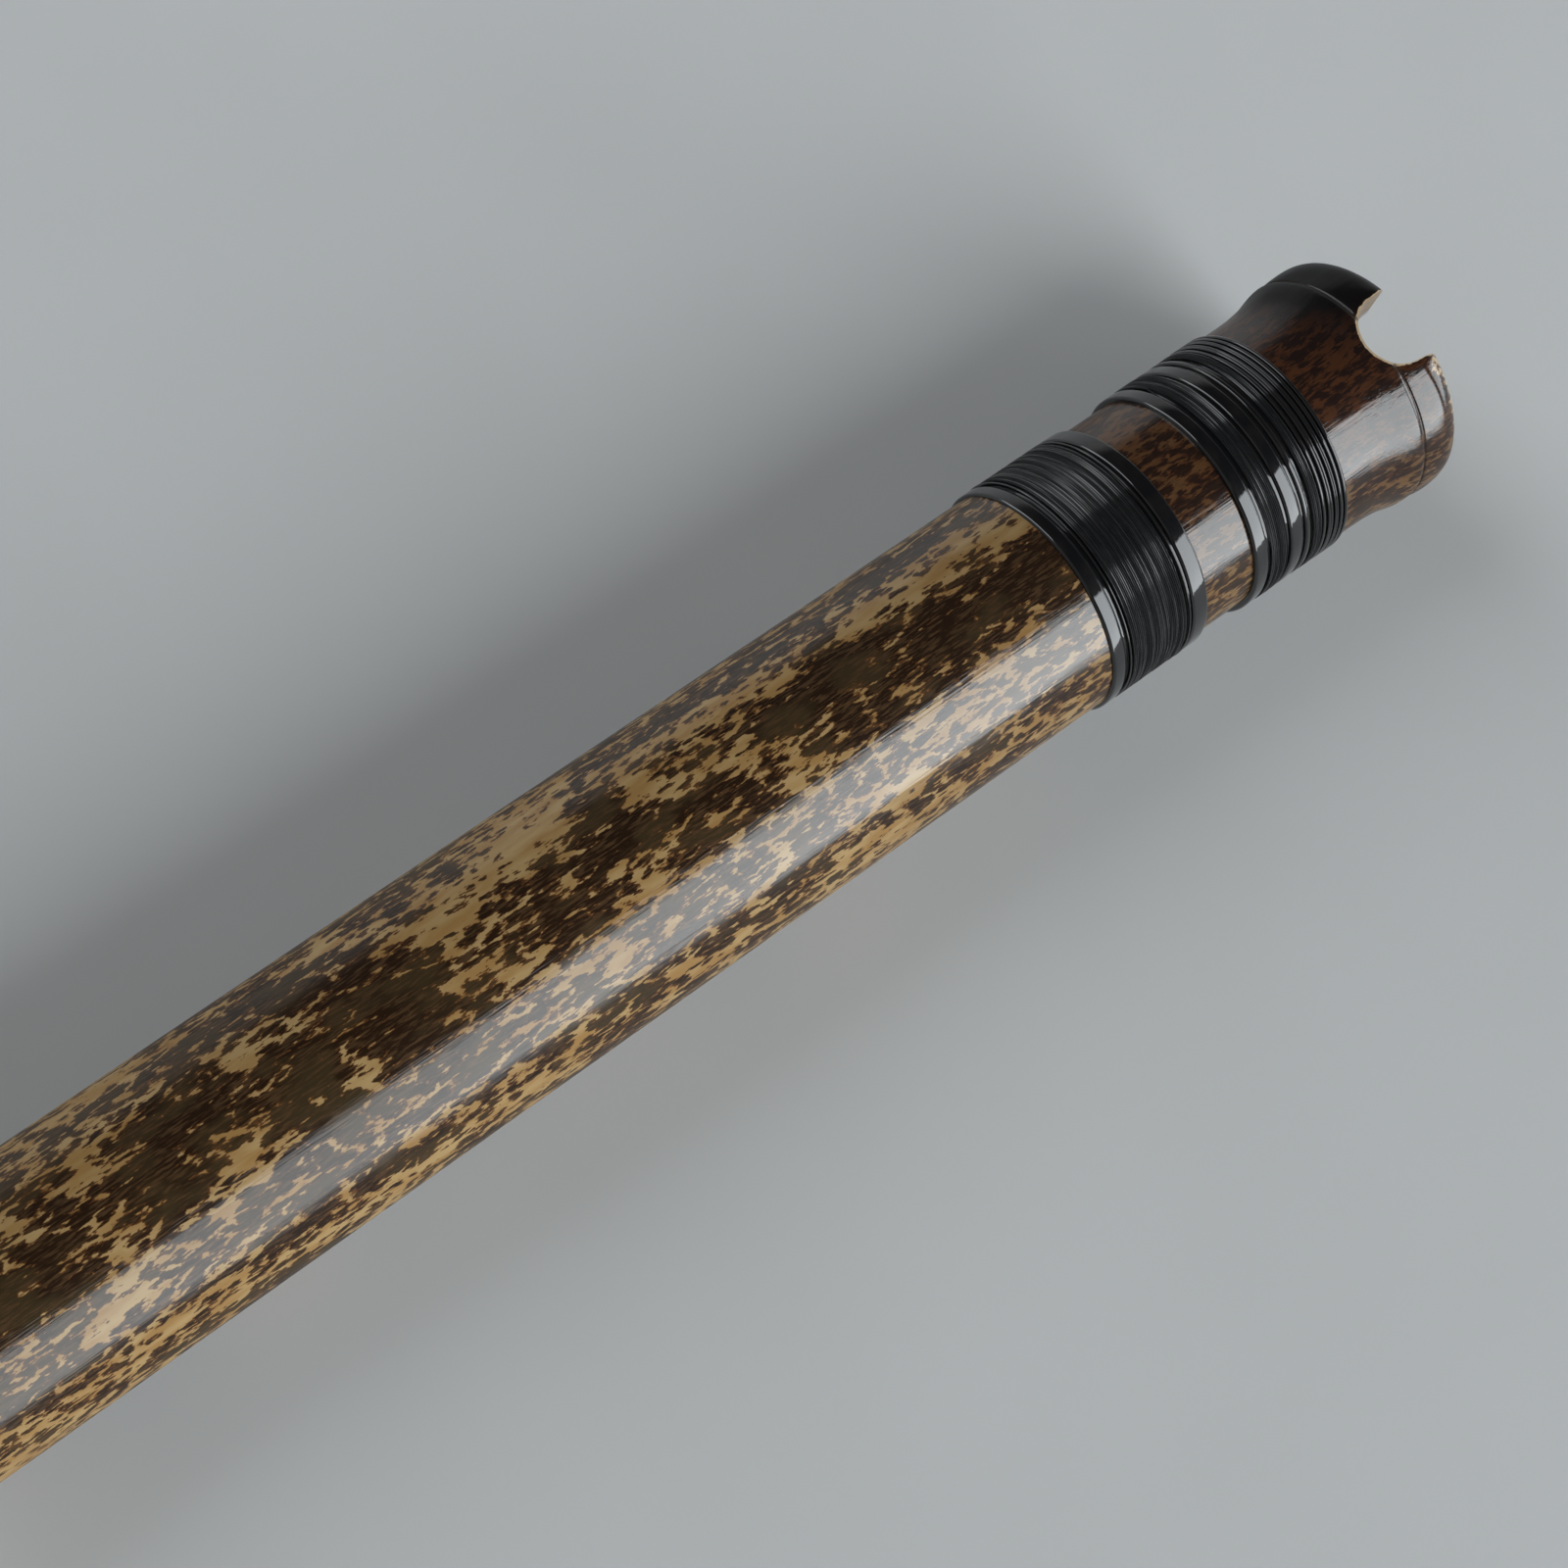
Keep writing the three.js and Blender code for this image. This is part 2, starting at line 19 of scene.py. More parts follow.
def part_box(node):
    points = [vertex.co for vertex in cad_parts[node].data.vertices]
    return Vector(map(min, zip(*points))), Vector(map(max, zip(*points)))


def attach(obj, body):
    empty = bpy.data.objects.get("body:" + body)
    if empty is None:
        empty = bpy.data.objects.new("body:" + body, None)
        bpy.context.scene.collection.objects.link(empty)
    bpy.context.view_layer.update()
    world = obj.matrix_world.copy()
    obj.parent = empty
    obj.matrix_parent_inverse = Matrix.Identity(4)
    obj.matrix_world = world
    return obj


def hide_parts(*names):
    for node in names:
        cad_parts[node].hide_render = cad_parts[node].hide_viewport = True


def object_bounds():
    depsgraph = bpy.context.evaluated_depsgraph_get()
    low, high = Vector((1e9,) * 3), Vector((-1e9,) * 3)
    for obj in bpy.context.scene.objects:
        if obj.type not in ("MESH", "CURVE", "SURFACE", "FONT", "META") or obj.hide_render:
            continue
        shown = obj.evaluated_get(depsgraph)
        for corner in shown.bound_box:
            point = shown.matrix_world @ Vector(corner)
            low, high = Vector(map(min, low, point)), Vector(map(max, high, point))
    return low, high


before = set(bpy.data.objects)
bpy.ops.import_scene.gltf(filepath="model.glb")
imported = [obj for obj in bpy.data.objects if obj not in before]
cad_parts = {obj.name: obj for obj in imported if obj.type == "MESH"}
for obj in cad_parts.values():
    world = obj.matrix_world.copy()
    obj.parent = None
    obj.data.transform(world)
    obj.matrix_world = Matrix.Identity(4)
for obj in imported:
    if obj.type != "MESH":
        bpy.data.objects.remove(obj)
CAD_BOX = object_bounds()

MM = 0.001  # metres in a millimetre
FULL_TURN = 2 * math.pi
SHARP_ANGLE = math.radians(38)  # edges that turn by more than this stay sharp
FIT_GAP = 0.3  # between pieces that go into each other
LINING_OVERLAP = 0.25  # how far a lining reaches into the bamboo round it
LOG = logging.getLogger("shakuhachi")

Relief = Callable[[np.ndarray, np.ndarray], np.ndarray]
Range = tuple[float, float]
Colour = tuple[float, float, float]
Faces = list[tuple[int, ...]]
Mesh = bpy.types.Mesh
Object = bpy.types.Object
Material = bpy.types.Material
Socket = bpy.types.NodeSocket


class Body(Enum):
    """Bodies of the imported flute."""

    HEAD = "head_section"
    PACKING = "packing"
    LOWER = "body_section"


class Slot(Enum):
    """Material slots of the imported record."""

    BAMBOO = "bamboo"
    BORE_LACQUER = "bore_lacquer"
    BLACK_LACQUER = "black_lacquer"
    BLACK_THREAD = "black_thread"
    TENON_WOOD = "tenon_wood"
    PACKING_THREAD = "packing_thread"
    NICKEL_SILVER = "nickel_silver"


class Strip(Enum):
    """Kinds of strip that a binding is made of, side by side along the flute."""

    LACQUER = "smooth lacquer over the turns"
    RIDGE = "raised turns under lacquer"
    GROOVE = "groove between turns"
    THREAD = "bare fine turns"


@dataclass(frozen=True)
class Span:
    """Room of one CAD node: its stretch along the flute and its radius."""

    start: float
    end: float
    radius: float
    top: float

    @classmethod
    def of(cls, node: str) -> "Span":
        """Reads a node's room from the frame.

        Args:
            node: name of the CAD node.

        Returns:
            Its stretch from the mouth end, its half width and its top, in millimetres.
        """
        low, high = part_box(node)
        mouth = CAD_BOX[1].x
        return cls((mouth - high.x) / MM, (mouth - low.x) / MM, high.y / MM, high.z / MM)


@dataclass(frozen=True)
class CentreLine:
    """Centre line of the flute: level from the mouth, then rising towards the root end."""

    length: float
    height: float
    foot_rise: float
    bend_share: float = 0.52

    @classmethod
    def from_frame(cls) -> "CentreLine":
        """Works the line out from the boxes of the tenon and of the body's bore lining."""
        tenon = Span.of("tenon")
        lining = Span.of("body_bore_lining")
        height = tenon.top - tenon.radius
        return cls(lining.end, height, lining.top - lining.radius - height)

    def rise(self, place: np.ndarray) -> np.ndarray:
        """Height of the line over its level part.

        Args:
            place: places from the mouth end.

        Returns:
            The rise at each place.
        """
        bend = self.bend_share * self.length
        share = np.maximum(0.0, place - bend) / (self.length - bend)
        return self.foot_rise * share**2

    def points(self, place: np.ndarray, radius: np.ndarray, angle: np.ndarray) -> np.ndarray:
        """Puts points round the line into the frame.

        Args:
            place: places from the mouth end.
            radius: distances from the line.
            angle: angles from the top towards -Y.

        Returns:
            The points in metres, one row each.
        """
        x = self.length / 2 - place
        y = -radius * np.sin(angle)
        z = self.height + self.rise(place) + radius * np.cos(angle)
        return np.stack([x, y, z], axis=-1).reshape(-1, 3) * MM

    def place_and_angle(self, points: np.ndarray) -> tuple[np.ndarray, np.ndarray, np.ndarray]:
        """The other way round: where points of the frame lie along and round the line.

        Args:
            points: points in metres, one row each.

        Returns:
            Their places, radii and angles.
        """
        x, y, z = (points / MM).T
        place = self.length / 2 - x
        up = z - self.height - self.rise(place)
        return place, np.hypot(y, up), np.arctan2(-y, up)


AXIS = CentreLine.from_frame()


def new_object(name: str, data: bpy.types.ID) -> Object:
    """Makes an object of the scene from its mesh, lamp or camera."""
    made = bpy.data.objects.new(name, data)
    bpy.context.scene.collection.objects.link(made)
    return made


def smooth_mesh(mesh: Mesh) -> None:
    """Shades a mesh smooth, apart from its sharp edges."""
    mesh.shade_smooth()
    mesh.set_sharp_from_angle(angle=SHARP_ANGLE)


def make_object(name: str, points: np.ndarray, faces: Faces) -> Object:
    """Makes a mesh object of the scene.

    Args:
        name: name of the object.
        points: points in metres, one row each.
        faces: corners of each face.

    Returns:
        The new object, smooth apart from its sharp edges.
    """
    mesh = bpy.data.meshes.new(name)
    mesh.from_pydata(points.tolist(), [], faces)
    smooth_mesh(mesh)
    return new_object(name, mesh)


def circle(sides: int) -> np.ndarray:
    """Angles of evenly spaced points round a full turn."""
    return np.linspace(0, FULL_TURN, sides, endpoint=False)


def outline(places: Sequence[float], radius: Sequence[float] | float) -> np.ndarray:
    """Rows of place and radius, from places and their radii or the one radius of all."""
    return np.stack(np.broadcast_arrays(places, radius), 1)


def level_points(x: np.ndarray, y: np.ndarray, height: float) -> np.ndarray:
    """Points at one height, one row each."""
    return np.stack([x, y, np.full(len(x), height)], 1)


def prism(name: str, first: np.ndarray, second: np.ndarray) -> Object:
    """Closed solid between two outlines.

    Args:
        name: name of the object.
        first: corners of the first outline in millimetres, one row each.
        second: corners of the second, in the same order.

    Returns:
        The new object, its faces turned outwards.
    """
    count = len(first)
    faces = [(i, (i + 1) % count, count + (i + 1) % count, count + i) for i in range(count)]
    faces += [tuple(range(count))[::-1], tuple(range(count, 2 * count))]
    points = np.concatenate([first, second])
    volume = sum(
        np.dot(points[face[0]], np.cross(points[before], points[after]))
        for face in faces
        for before, after in zip(face[1:], face[2:])
    )
    if volume < 0:
        faces = [face[::-1] for face in faces]
    return make_object(name, points * MM, faces)


def grid_faces(rows: int, columns: int, closed_rows: bool) -> Faces:
    """Quads over a grid whose columns close into rings.

    Args:
        rows: number of rings.
        columns: points in a ring.
        closed_rows: whether the last ring joins the first.

    Returns:
        The corners of each quad.
    """
    row = np.arange(rows if closed_rows else rows - 1)[:, None]
    column = np.arange(columns)[None, :]
    next_row = (row + 1) % rows
    next_column = (column + 1) % columns
    corners = (
        row * columns + column,
        next_row * columns + column,
        next_row * columns + next_column,
        row * columns + next_column,
    )
    return [tuple(face) for face in np.stack(corners, axis=-1).reshape(-1, 4).tolist()]


def ring_solid(
    name: str,
    outside: np.ndarray,
    inside: np.ndarray,
    sides: int,
    relief: Relief | None = None,
) -> Object:
    """Solid ring round the centre line.

    Args:
        name: name of the object.
        outside: rows of place and radius along the outside, away from the mouth.
        inside: rows of place and radius back along the inside.
        sides: points in each ring.
        relief: height to add to the outside, from places and angles.

    Returns:
        The new object.
    """
    profile = np.concatenate([outside, inside])
    angle = circle(sides)[None, :].repeat(len(profile), 0)
    place = profile[:, :1].repeat(sides, 1)
    radius = profile[:, 1:].repeat(sides, 1)
    if relief is not None:
        out = slice(0, len(outside))
        radius[out] += relief(place[out], angle[out])
    points = AXIS.points(place, radius, angle)
    return make_object(name, points, grid_faces(len(profile), sides, True))


def smooth_curve(points: Sequence[Range], steps: int) -> np.ndarray:
    """Catmull-Rom curve through points.

    Args:
        points: place and radius of each point.
        steps: pieces between two points.

    Returns:
        Rows of place and radius along the curve.
    """
    path = np.array(points, float)
    padded = np.vstack([2 * path[0] - path[1], path, 2 * path[-1] - path[-2]])
    rows = []
    for before, start, end, after in zip(padded, padded[1:], padded[2:], padded[3:]):
        for t in np.linspace(0, 1, steps, endpoint=False):
            bend = 2 * before - 5 * start + 4 * end - after
            twist = 3 * start - before - 3 * end + after
            rows.append(start + t * (end - before + t * (bend + t * twist)) / 2)
    return np.array([*rows, path[-1]])


def spaced(start: float, end: float, step: float) -> np.ndarray:
    """Evenly spaced places.

    Args:
        start: first place.
        end: last place.
        step: largest distance between two places.

    Returns:
        The places, both ends included.
    """
    return np.linspace(start, end, max(2, math.ceil((end - start) / step) + 1))


def fading(distance: np.ndarray, width: float) -> np.ndarray:
    """Share that falls from one at no distance to nothing at a width, with a level foot."""
    return np.clip(1 - np.maximum(distance, 0) / width, 0, 1) ** 2


def bump(distance: np.ndarray, width: float) -> np.ndarray:
    """Bell curve of height one."""
    return np.exp(-((distance / width) ** 2))


def near(value: np.ndarray, middle: float, width: float) -> np.ndarray:
    """Bell curve of height one round a middle."""
    return bump(value - middle, width)


def rising(value: np.ndarray, start: float, width: float) -> np.ndarray:
    """Share that rises evenly from nothing to one over the width after a start."""
    return np.clip((value - start) / width, 0, 1)


def falling(value: np.ndarray, end: float, width: float) -> np.ndarray:
    """Share that falls evenly from one to nothing over the width before an end."""
    return np.clip((end - value) / width, 0, 1)


def carve(target: Object, cutters: Iterable[Object]) -> None:
    """Takes cutters away from a solid, and deletes them.

    Args:
        target: the solid, whose mesh is replaced.
        cutters: closed solids.
    """
    for cutter in cutters:
        modifier = target.modifiers.new("cut", "BOOLEAN")
        modifier.operation = "DIFFERENCE"
        modifier.solver = "MANIFOLD"
        modifier.object = cutter
        graph = bpy.context.evaluated_depsgraph_get()
        cut = bpy.data.meshes.new_from_object(target.evaluated_get(graph))
        target.modifiers.clear()
        old = target.data
        target.data = cut
        bpy.data.meshes.remove(old)
        bpy.data.objects.remove(cutter)
    target.data.materials.clear()
    smooth_mesh(target.data)


def mesh_points(mesh: Mesh) -> np.ndarray:
    """Points of a mesh, in metres, one row each."""
    flat = np.empty(len(mesh.vertices) * 3)
    mesh.vertices.foreach_get("co", flat)
    return flat.reshape(-1, 3)


def store(mesh: Mesh, name: str, values: np.ndarray) -> None:
    """Keeps one number for each point of a mesh, for its material.

    Args:
        mesh: the mesh.
        name: name that the material reads.
        values: one number for each point.
    """
    attribute = mesh.attributes.new(name, "FLOAT", "POINT")
    attribute.data.foreach_set("value", values.astype(np.float32))


def dress(
    piece: Object,
    body: Body,
    node: str,
    finishes: Sequence[Material],
) -> None:
    """Gives a piece its finish and its place on the flute.

    Args:
        piece: the piece.
        body: body that it moves with.
        node: CAD node that it stands for.
        finishes: its materials, the first of which covers faces that name no other.
    """
    for finish in finishes:
        piece.data.materials.append(finish)
    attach(piece, body.value)
    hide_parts(node)
    LOG.info("%s: %d faces, stands for %s", piece.name, len(piece.data.polygons), node)


class Nodes:
    """Adds nodes to the node tree of a material or a world, and links them."""

    def __init__(self, owner: Material | bpy.types.World) -> None:
        """Turns the owner's nodes on.

        Args:
            owner: the material or world.
        """
        owner.use_nodes = True
        self.nodes = owner.node_tree.nodes
        self.links = owner.node_tree.links

    def add(self, kind: str, **settings: object) -> bpy.types.Node:
        """Adds a node with its settings."""
        node = self.nodes.new(kind)
        for key, value in settings.items():
            setattr(node, key, value)
        return node

    def feed(self, socket: Socket, value: object) -> None:
        """Links another socket to a socket, or sets its number or colour.

        Args:
            socket: the input.
            value: an output, a number, a vector or a colour.
        """
        if isinstance(value, Socket):
            self.links.new(value, socket)
        elif socket.type == "RGBA":
            socket.default_value = (*value, 1.0)
        else:
            socket.default_value = value

    def calculate(self, operation: str, *values: Socket | float) -> Socket:
        """Result of one operation of arithmetic."""
        node = self.add("ShaderNodeMath", operation=operation)
        for socket, value in zip(node.inputs, values):
            self.feed(socket, value)
        return node.outputs[0]

    def ramp(
        self, value: Socket, low: float, high: float, start: float = 0.0, end: float = 1.0
    ) -> Socket:
        """Smooth step.

        Args:
            value: the value.
            low: where the step starts.
            high: where it ends.
            start: result before the step.
            end: result after it.

        Returns:
            The result.
        """
        node = self.add("ShaderNodeMapRange", interpolation_type="SMOOTHSTEP")
        for socket, each in zip(node.inputs, (value, low, high, start, end)):
            self.feed(socket, each)
        return node.outputs["Result"]

    def mix(self, share: Socket, first: Colour | Socket, second: Colour | Socket) -> Socket:
        """Mix of two colours.

        Args:
            share: share of the second.
            first: colour where the share is nothing.
            second: colour where it is one.

        Returns:
            The mixed colour.
        """
        node = self.add("ShaderNodeMix", data_type="RGBA")
        colours = [socket for socket in node.inputs if socket.type == "RGBA"]
        self.feed(node.inputs["Factor"], share)
        for socket, colour in zip(colours, (first, second)):
            self.feed(socket, colour)
        return next(socket for socket in node.outputs if socket.type == "RGBA")


class Shader(Nodes):
    """Builds one material's nodes round its Principled BSDF, on coordinates in millimetres."""

    def __init__(self, name: str) -> None:
        """Starts the material.

        Args:
            name: name of the material.
        """
        self.material = bpy.data.materials.new(name)
        super().__init__(self.material)
        self.surface = self.nodes["Principled BSDF"]
        self.coordinates = self.add("ShaderNodeTexCoord").outputs["Object"]

    def set(self, **values: object) -> None:
        """Sets sockets of the surface, named with underscores for spaces."""
        for key, value in values.items():
            self.feed(self.surface.inputs[key.replace("_", " ")], value)

    def place(self, grain: Range) -> Socket:
        """Coordinates in units of a grain's size.

        Args:
            grain: length and width of a grain.

        Returns:
            The scaled coordinates.
        """
        length, width = grain
        mapping = self.add("ShaderNodeMapping")
        self.feed(mapping.inputs["Vector"], self.coordinates)
        scale = [1 / (MM * each) for each in (length, width, width)]
        mapping.inputs["Scale"].default_value = scale
        return mapping.outputs["Vector"]

    def texture(
        self, kind: str, where: Socket, scale: float = 1.0, **settings: object
    ) -> bpy.types.Node:
        """Adds a texture node.

        Args:
            kind: kind of the node.
            where: its coordinates.
            scale: its scale on them.
            settings: its other settings.

        Returns:
            The node.
        """
        node = self.add(kind, **settings)
        self.feed(node.inputs["Vector"], where)
        node.inputs["Scale"].default_value = scale
        return node

    def warped(self, grain: Range, amount: float) -> Socket:
        """Coordinates in units of a grain's size, pushed about by noise of twice that size.

        Args:
            grain: length and width of a grain.
            amount: how far they are pushed, in grains.

        Returns:
            The warped coordinates.
        """
        push = self.texture("ShaderNodeTexNoise", self.place(grain), 0.5)
        push.inputs["Detail"].default_value = 1.0
        node = self.add("ShaderNodeVectorMath", operation="MULTIPLY_ADD")
        values = (push.outputs["Color"], (amount, amount, amount), self.place(grain))
        for socket, value in zip(node.inputs, values):
            self.feed(socket, value)
        return node.outputs["Vector"]

    def noise(
        self, grain: Range, detail: float = 2.0, roughness: float = 0.5, distortion: float = 0.0
    ) -> Socket:
        """Noise with a mean of one half.

        Args:
            grain: length and width of a grain.
            detail: octaves.
            roughness: strength of the finer octaves.
            distortion: how much it is warped.

        Returns:
            Its value.
        """
        node = self.texture("ShaderNodeTexNoise", self.place(grain))
        node.inputs["Detail"].default_value = detail
        node.inputs["Roughness"].default_value = roughness
        node.inputs["Distortion"].default_value = distortion
        return node.outputs["Fac"]

    def cells(self, grain: Range, warp: float) -> Socket:
        """Distance to the middle of the nearest cell.

        Args:
            grain: length and width of a cell.
            warp: how far the cells are pushed out of shape.

        Returns:
            The distance, in cells.
        """
        return self.texture("ShaderNodeTexVoronoi", self.warped(grain, warp)).outputs["Distance"]

    def bundles(self, size: float) -> Socket:
        """Distance to the middle of the nearest fibre bundle, all of which run along the flute.

        Args:
            size: distance between bundles.

        Returns:
            The distance, in bundles.
        """
        turned = self.add("ShaderNodeMapping")
        self.feed(turned.inputs["Vector"], self.place((size, size)))
        turned.inputs["Rotation"].default_value = (0.0, math.pi / 2, 0.0)
        across = turned.outputs["Vector"]
        node = self.texture("ShaderNodeTexVoronoi", across, voronoi_dimensions="2D")
        return node.outputs["Distance"]

    def stored(self, name: str) -> Socket:
        """Number that the mesh keeps for each point."""
        return self.add("ShaderNodeAttribute", attribute_name=name).outputs["Fac"]

    def sum(self, *terms: tuple[Socket, float]) -> Socket:
        """Weighted sum.

        Args:
            terms: each value with its weight.

        Returns:
            The sum.
        """
        total: Socket | float = 0.0
        for value, weight in terms:
            total = self.calculate("MULTIPLY_ADD", value, weight, total)
        return total

    def bumped(self, height: Socket, depth: float, strength: float = 1.0) -> Socket:
        """Normal of a fine relief.

        Args:
            height: height, from nothing to one.
            depth: height of one, in millimetres.
            strength: share of the relief that shows.

        Returns:
            The normal.
        """
        node = self.add("ShaderNodeBump")
        self.feed(node.inputs["Height"], height)
        node.inputs["Distance"].default_value = depth * MM
        node.inputs["Strength"].default_value = strength
        return node.outputs["Normal"]


@dataclass(frozen=True)
class MottledBamboo:
    """Bamboo skin with dark mottling, under clear gloss lacquer."""

    ground: Colour = (0.28, 0.157, 0.052)
    pale_ground: Colour = (0.36, 0.24, 0.105)
    edge: Colour = (0.105, 0.040, 0.012)
    dark: Colour = (0.018, 0.0075, 0.0022)
    faint: Colour = (0.068, 0.036, 0.015)
    olive: Colour = (0.038, 0.024, 0.009)
    stained_ground: Colour = (0.060, 0.020, 0.007)
    stained_dark: Colour = (0.013, 0.005, 0.003)
    scorched: Colour = (0.004, 0.003, 0.003)
    worn: Colour = (0.50, 0.36, 0.22)
    line: Colour = (0.02, 0.012, 0.008)
    coat_ior: float = 1.6
    coat_roughness: float = 0.06

    def material(self) -> Material:
        """Makes the finish."""
        shader = Shader("mottled_bamboo")
        cloud = shader.noise((15, 7))
        ragged = shader.noise((5.5, 2.2), roughness=0.55, distortion=0.25)
        dash = shader.cells((3.0, 1.15), warp=1.6)
        speck = shader.noise((1.5, 0.40), roughness=0.6)
        layout = shader.stored("layout")
        depth = shader.sum(
            (cloud, 0.6), (ragged, 0.8), (dash, -0.88), (speck, 1.1), (layout, 0.21)
        )
        mask = shader.ramp(depth, 0.655, 0.735)
        core = shader.ramp(depth, 0.71, 0.85)
        tone = shader.noise((9, 2.2), detail=3)
        streak = shader.noise((2.6, 0.34), roughness=0.6)
        patch = shader.noise((11, 5))
        ground = shader.mix(shader.ramp(tone, 0.35, 0.68), self.ground, self.pale_ground)
        dark = shader.mix(shader.ramp(patch, 0.46, 0.62), self.dark, self.olive)
        dark = shader.mix(shader.ramp(streak, 0.46, 0.66), dark, self.faint)
        skin = shader.mix(core, shader.mix(mask, ground, self.edge), dark)
        blurred = shader.ramp(shader.sum((depth, 0.6), (streak, 0.5), (speck, 0.4)), 0.72, 1.06)
        stained = shader.mix(blurred, self.stained_ground, self.stained_dark)
        scorched = shader.mix(shader.ramp(streak, 0.6, 0.8), self.scorched, self.stained_dark)
        # the stored stain is real stain, thinned on the head's -Y side as painted light
        skin = shader.mix(shader.stored("stain"), skin, stained)
        skin = shader.mix(shader.stored("scorch"), skin, scorched)
        chip = shader.noise((1.0, 0.8), detail=3, roughness=0.6)
        worn = shader.ramp(shader.sum((shader.stored("wear"), 1.0), (chip, 1.0)), 1.02, 1.14)
        skin = shader.mix(worn, skin, self.worn)
        skin = shader.mix(shader.stored("line"), skin, self.line)
        fibre = shader.noise((14, 0.26), roughness=0.6)
        swell = shader.noise((26, 2.0), detail=1)
        relief = shader.sum((fibre, 0.30), (swell, 0.70))
        shader.set(
            Base_Color=skin,
            Roughness=0.5,
            Specular_IOR_Level=0.05,
            Coat_Weight=shader.stored("gloss"),
            Coat_Roughness=self.coat_roughness,
            Coat_IOR=self.coat_ior,
            Coat_Normal=shader.bumped(relief, 0.085),
            Normal=shader.bumped(shader.sum((fibre, 0.7), (speck, 0.3)), 0.05),
        )
        return shader.material


@dataclass(frozen=True)
class CutBamboo:
    """Bamboo cut across: pale wood with the dark ends of its fibres."""

    wood: Colour = (0.60, 0.48, 0.34)
    shade: Colour = (0.44, 0.31, 0.18)
    pore: Colour = (0.16, 0.085, 0.04)
    handled: Colour = (0.13, 0.075, 0.035)

    def material(self) -> Material:
        """Makes the finish."""
        shader = Shader("cut_bamboo")
        pores = shader.ramp(shader.bundles(0.62), 0.30, 0.14)
        tone = shader.noise((20, 1.3), detail=3)
        wood = shader.mix(shader.ramp(tone, 0.35, 0.7), self.wood, self.shade)
        # the stored stain is real stain, thinned on the head's -Y side as painted light
        aged = shader.ramp(shader.stored("stain"), 0.25, 0.8, 0.0, 0.85)
        wood = shader.mix(aged, wood, self.handled)
        shader.set(
            Base_Color=shader.mix(shader.calculate("MULTIPLY", pores, 0.8), wood, self.pore),
            Roughness=0.55,
            Coat_Weight=0.35,
            Coat_Roughness=0.25,
            Normal=shader.bumped(pores, 0.04, 0.6),
        )
        return shader.material


@dataclass(frozen=True)
class GlossLacquer:
    """Thick gloss lacquer, brushed on by hand."""

    name: str
    colour: Colour
    depth: Colour
    coat_ior: float = 1.58
    coat_roughness: float = 0.05

    def material(self) -> Material:
        """Makes the finish."""
        shader = Shader(self.name)
        cloud = shader.noise((2.5, 4), detail=3)
        waves = shader.noise((1.2, 3))
        shader.set(
            Base_Color=shader.mix(shader.ramp(cloud, 0.4, 0.7), self.colour, self.depth),
            Roughness=shader.ramp(cloud, 0.3, 0.8, 0.3, 0.45),
            Specular_IOR_Level=0.05,
            Coat_Weight=1.0,
            Coat_Roughness=self.coat_roughness,
            Coat_IOR=self.coat_ior,
            Coat_Normal=shader.bumped(waves, 0.03),
        )
        return shader.material


@dataclass(frozen=True)
class WoundThread:
    """Twisted thread, soaked in thin lacquer or wax."""

    name: str
    colour: Colour
    fleck: Colour
    polish: float  # coat of the shiniest turns

    def material(self) -> Material:
        """Makes the finish."""
        shader = Shader(self.name)
        tone = shader.noise((0.35, 1.8), detail=3)
        fuzz = shader.noise((0.09, 0.16))
        turns = shader.sum((shader.noise((0.36, 18)), 0.85), (fuzz, 0.15))
        shader.set(
            Base_Color=shader.mix(shader.ramp(tone, 0.45, 0.75), self.colour, self.fleck),
            Roughness=0.6,
            Specular_IOR_Level=0.12,
            Coat_Weight=shader.ramp(turns, 0.45, 0.60, 0.05 * self.polish, self.polish),
            Coat_Roughness=0.14,
            Coat_IOR=1.6,
            Normal=shader.bumped(fuzz, 0.03),
        )
        return shader.material


@dataclass(frozen=True)
class TurnedBamboo:
    """Bare bamboo, turned and oiled."""

    wood: Colour = (0.42, 0.25, 0.10)
    grain: Colour = (0.24, 0.12, 0.045)

    def material(self) -> Material:
        """Makes the finish."""
        shader = Shader("turned_bamboo")
        grain = shader.noise((22, 0.35), detail=3, roughness=0.6)
        tone = shader.noise((8, 3))
        colour = shader.mix(shader.ramp(grain, 0.45, 0.72), self.wood, self.grain)
        shader.set(
            Base_Color=shader.mix(shader.ramp(tone, 0.5, 0.9), colour, self.grain),
            Roughness=shader.ramp(grain, 0.3, 0.7, 0.42, 0.58),
            Specular_IOR_Level=0.4,
            Normal=shader.bumped(grain, 0.03),
        )
        return shader.material


@dataclass(frozen=True)
class NickelSilver:
    """Nickel silver, polished round and slightly tarnished."""

    metal: Colour = (0.66, 0.62, 0.54)
    tarnish: Colour = (0.40, 0.34, 0.26)

    def material(self) -> Material:
        """Makes the finish."""
        shader = Shader("nickel_silver")
        brushing = shader.noise((0.05, 9))
        tone = shader.noise((3, 5), detail=3, roughness=0.6)
        shader.set(
            Base_Color=shader.mix(shader.ramp(tone, 0.5, 0.85), self.metal, self.tarnish),
            Metallic=1.0,
            Roughness=shader.ramp(brushing, 0.3, 0.7, 0.2, 0.34),
            Normal=shader.bumped(brushing, 0.006),
        )
        return shader.material


@dataclass(frozen=True)
class FloorPaint:
    """Plain pale floor."""

    colour: Colour = (0.55, 0.55, 0.548)
    shade: Colour = (0.535, 0.535, 0.532)

    def material(self) -> Material:
        """Makes the finish."""
        shader = Shader("floor_paint")
        tone = shader.noise((60, 60))
        shader.set(
            Base_Color=shader.mix(shader.ramp(tone, 0.3, 0.7), self.colour, self.shade),
            Roughness=0.8,
            Specular_IOR_Level=0.2,
        )
        return shader.material


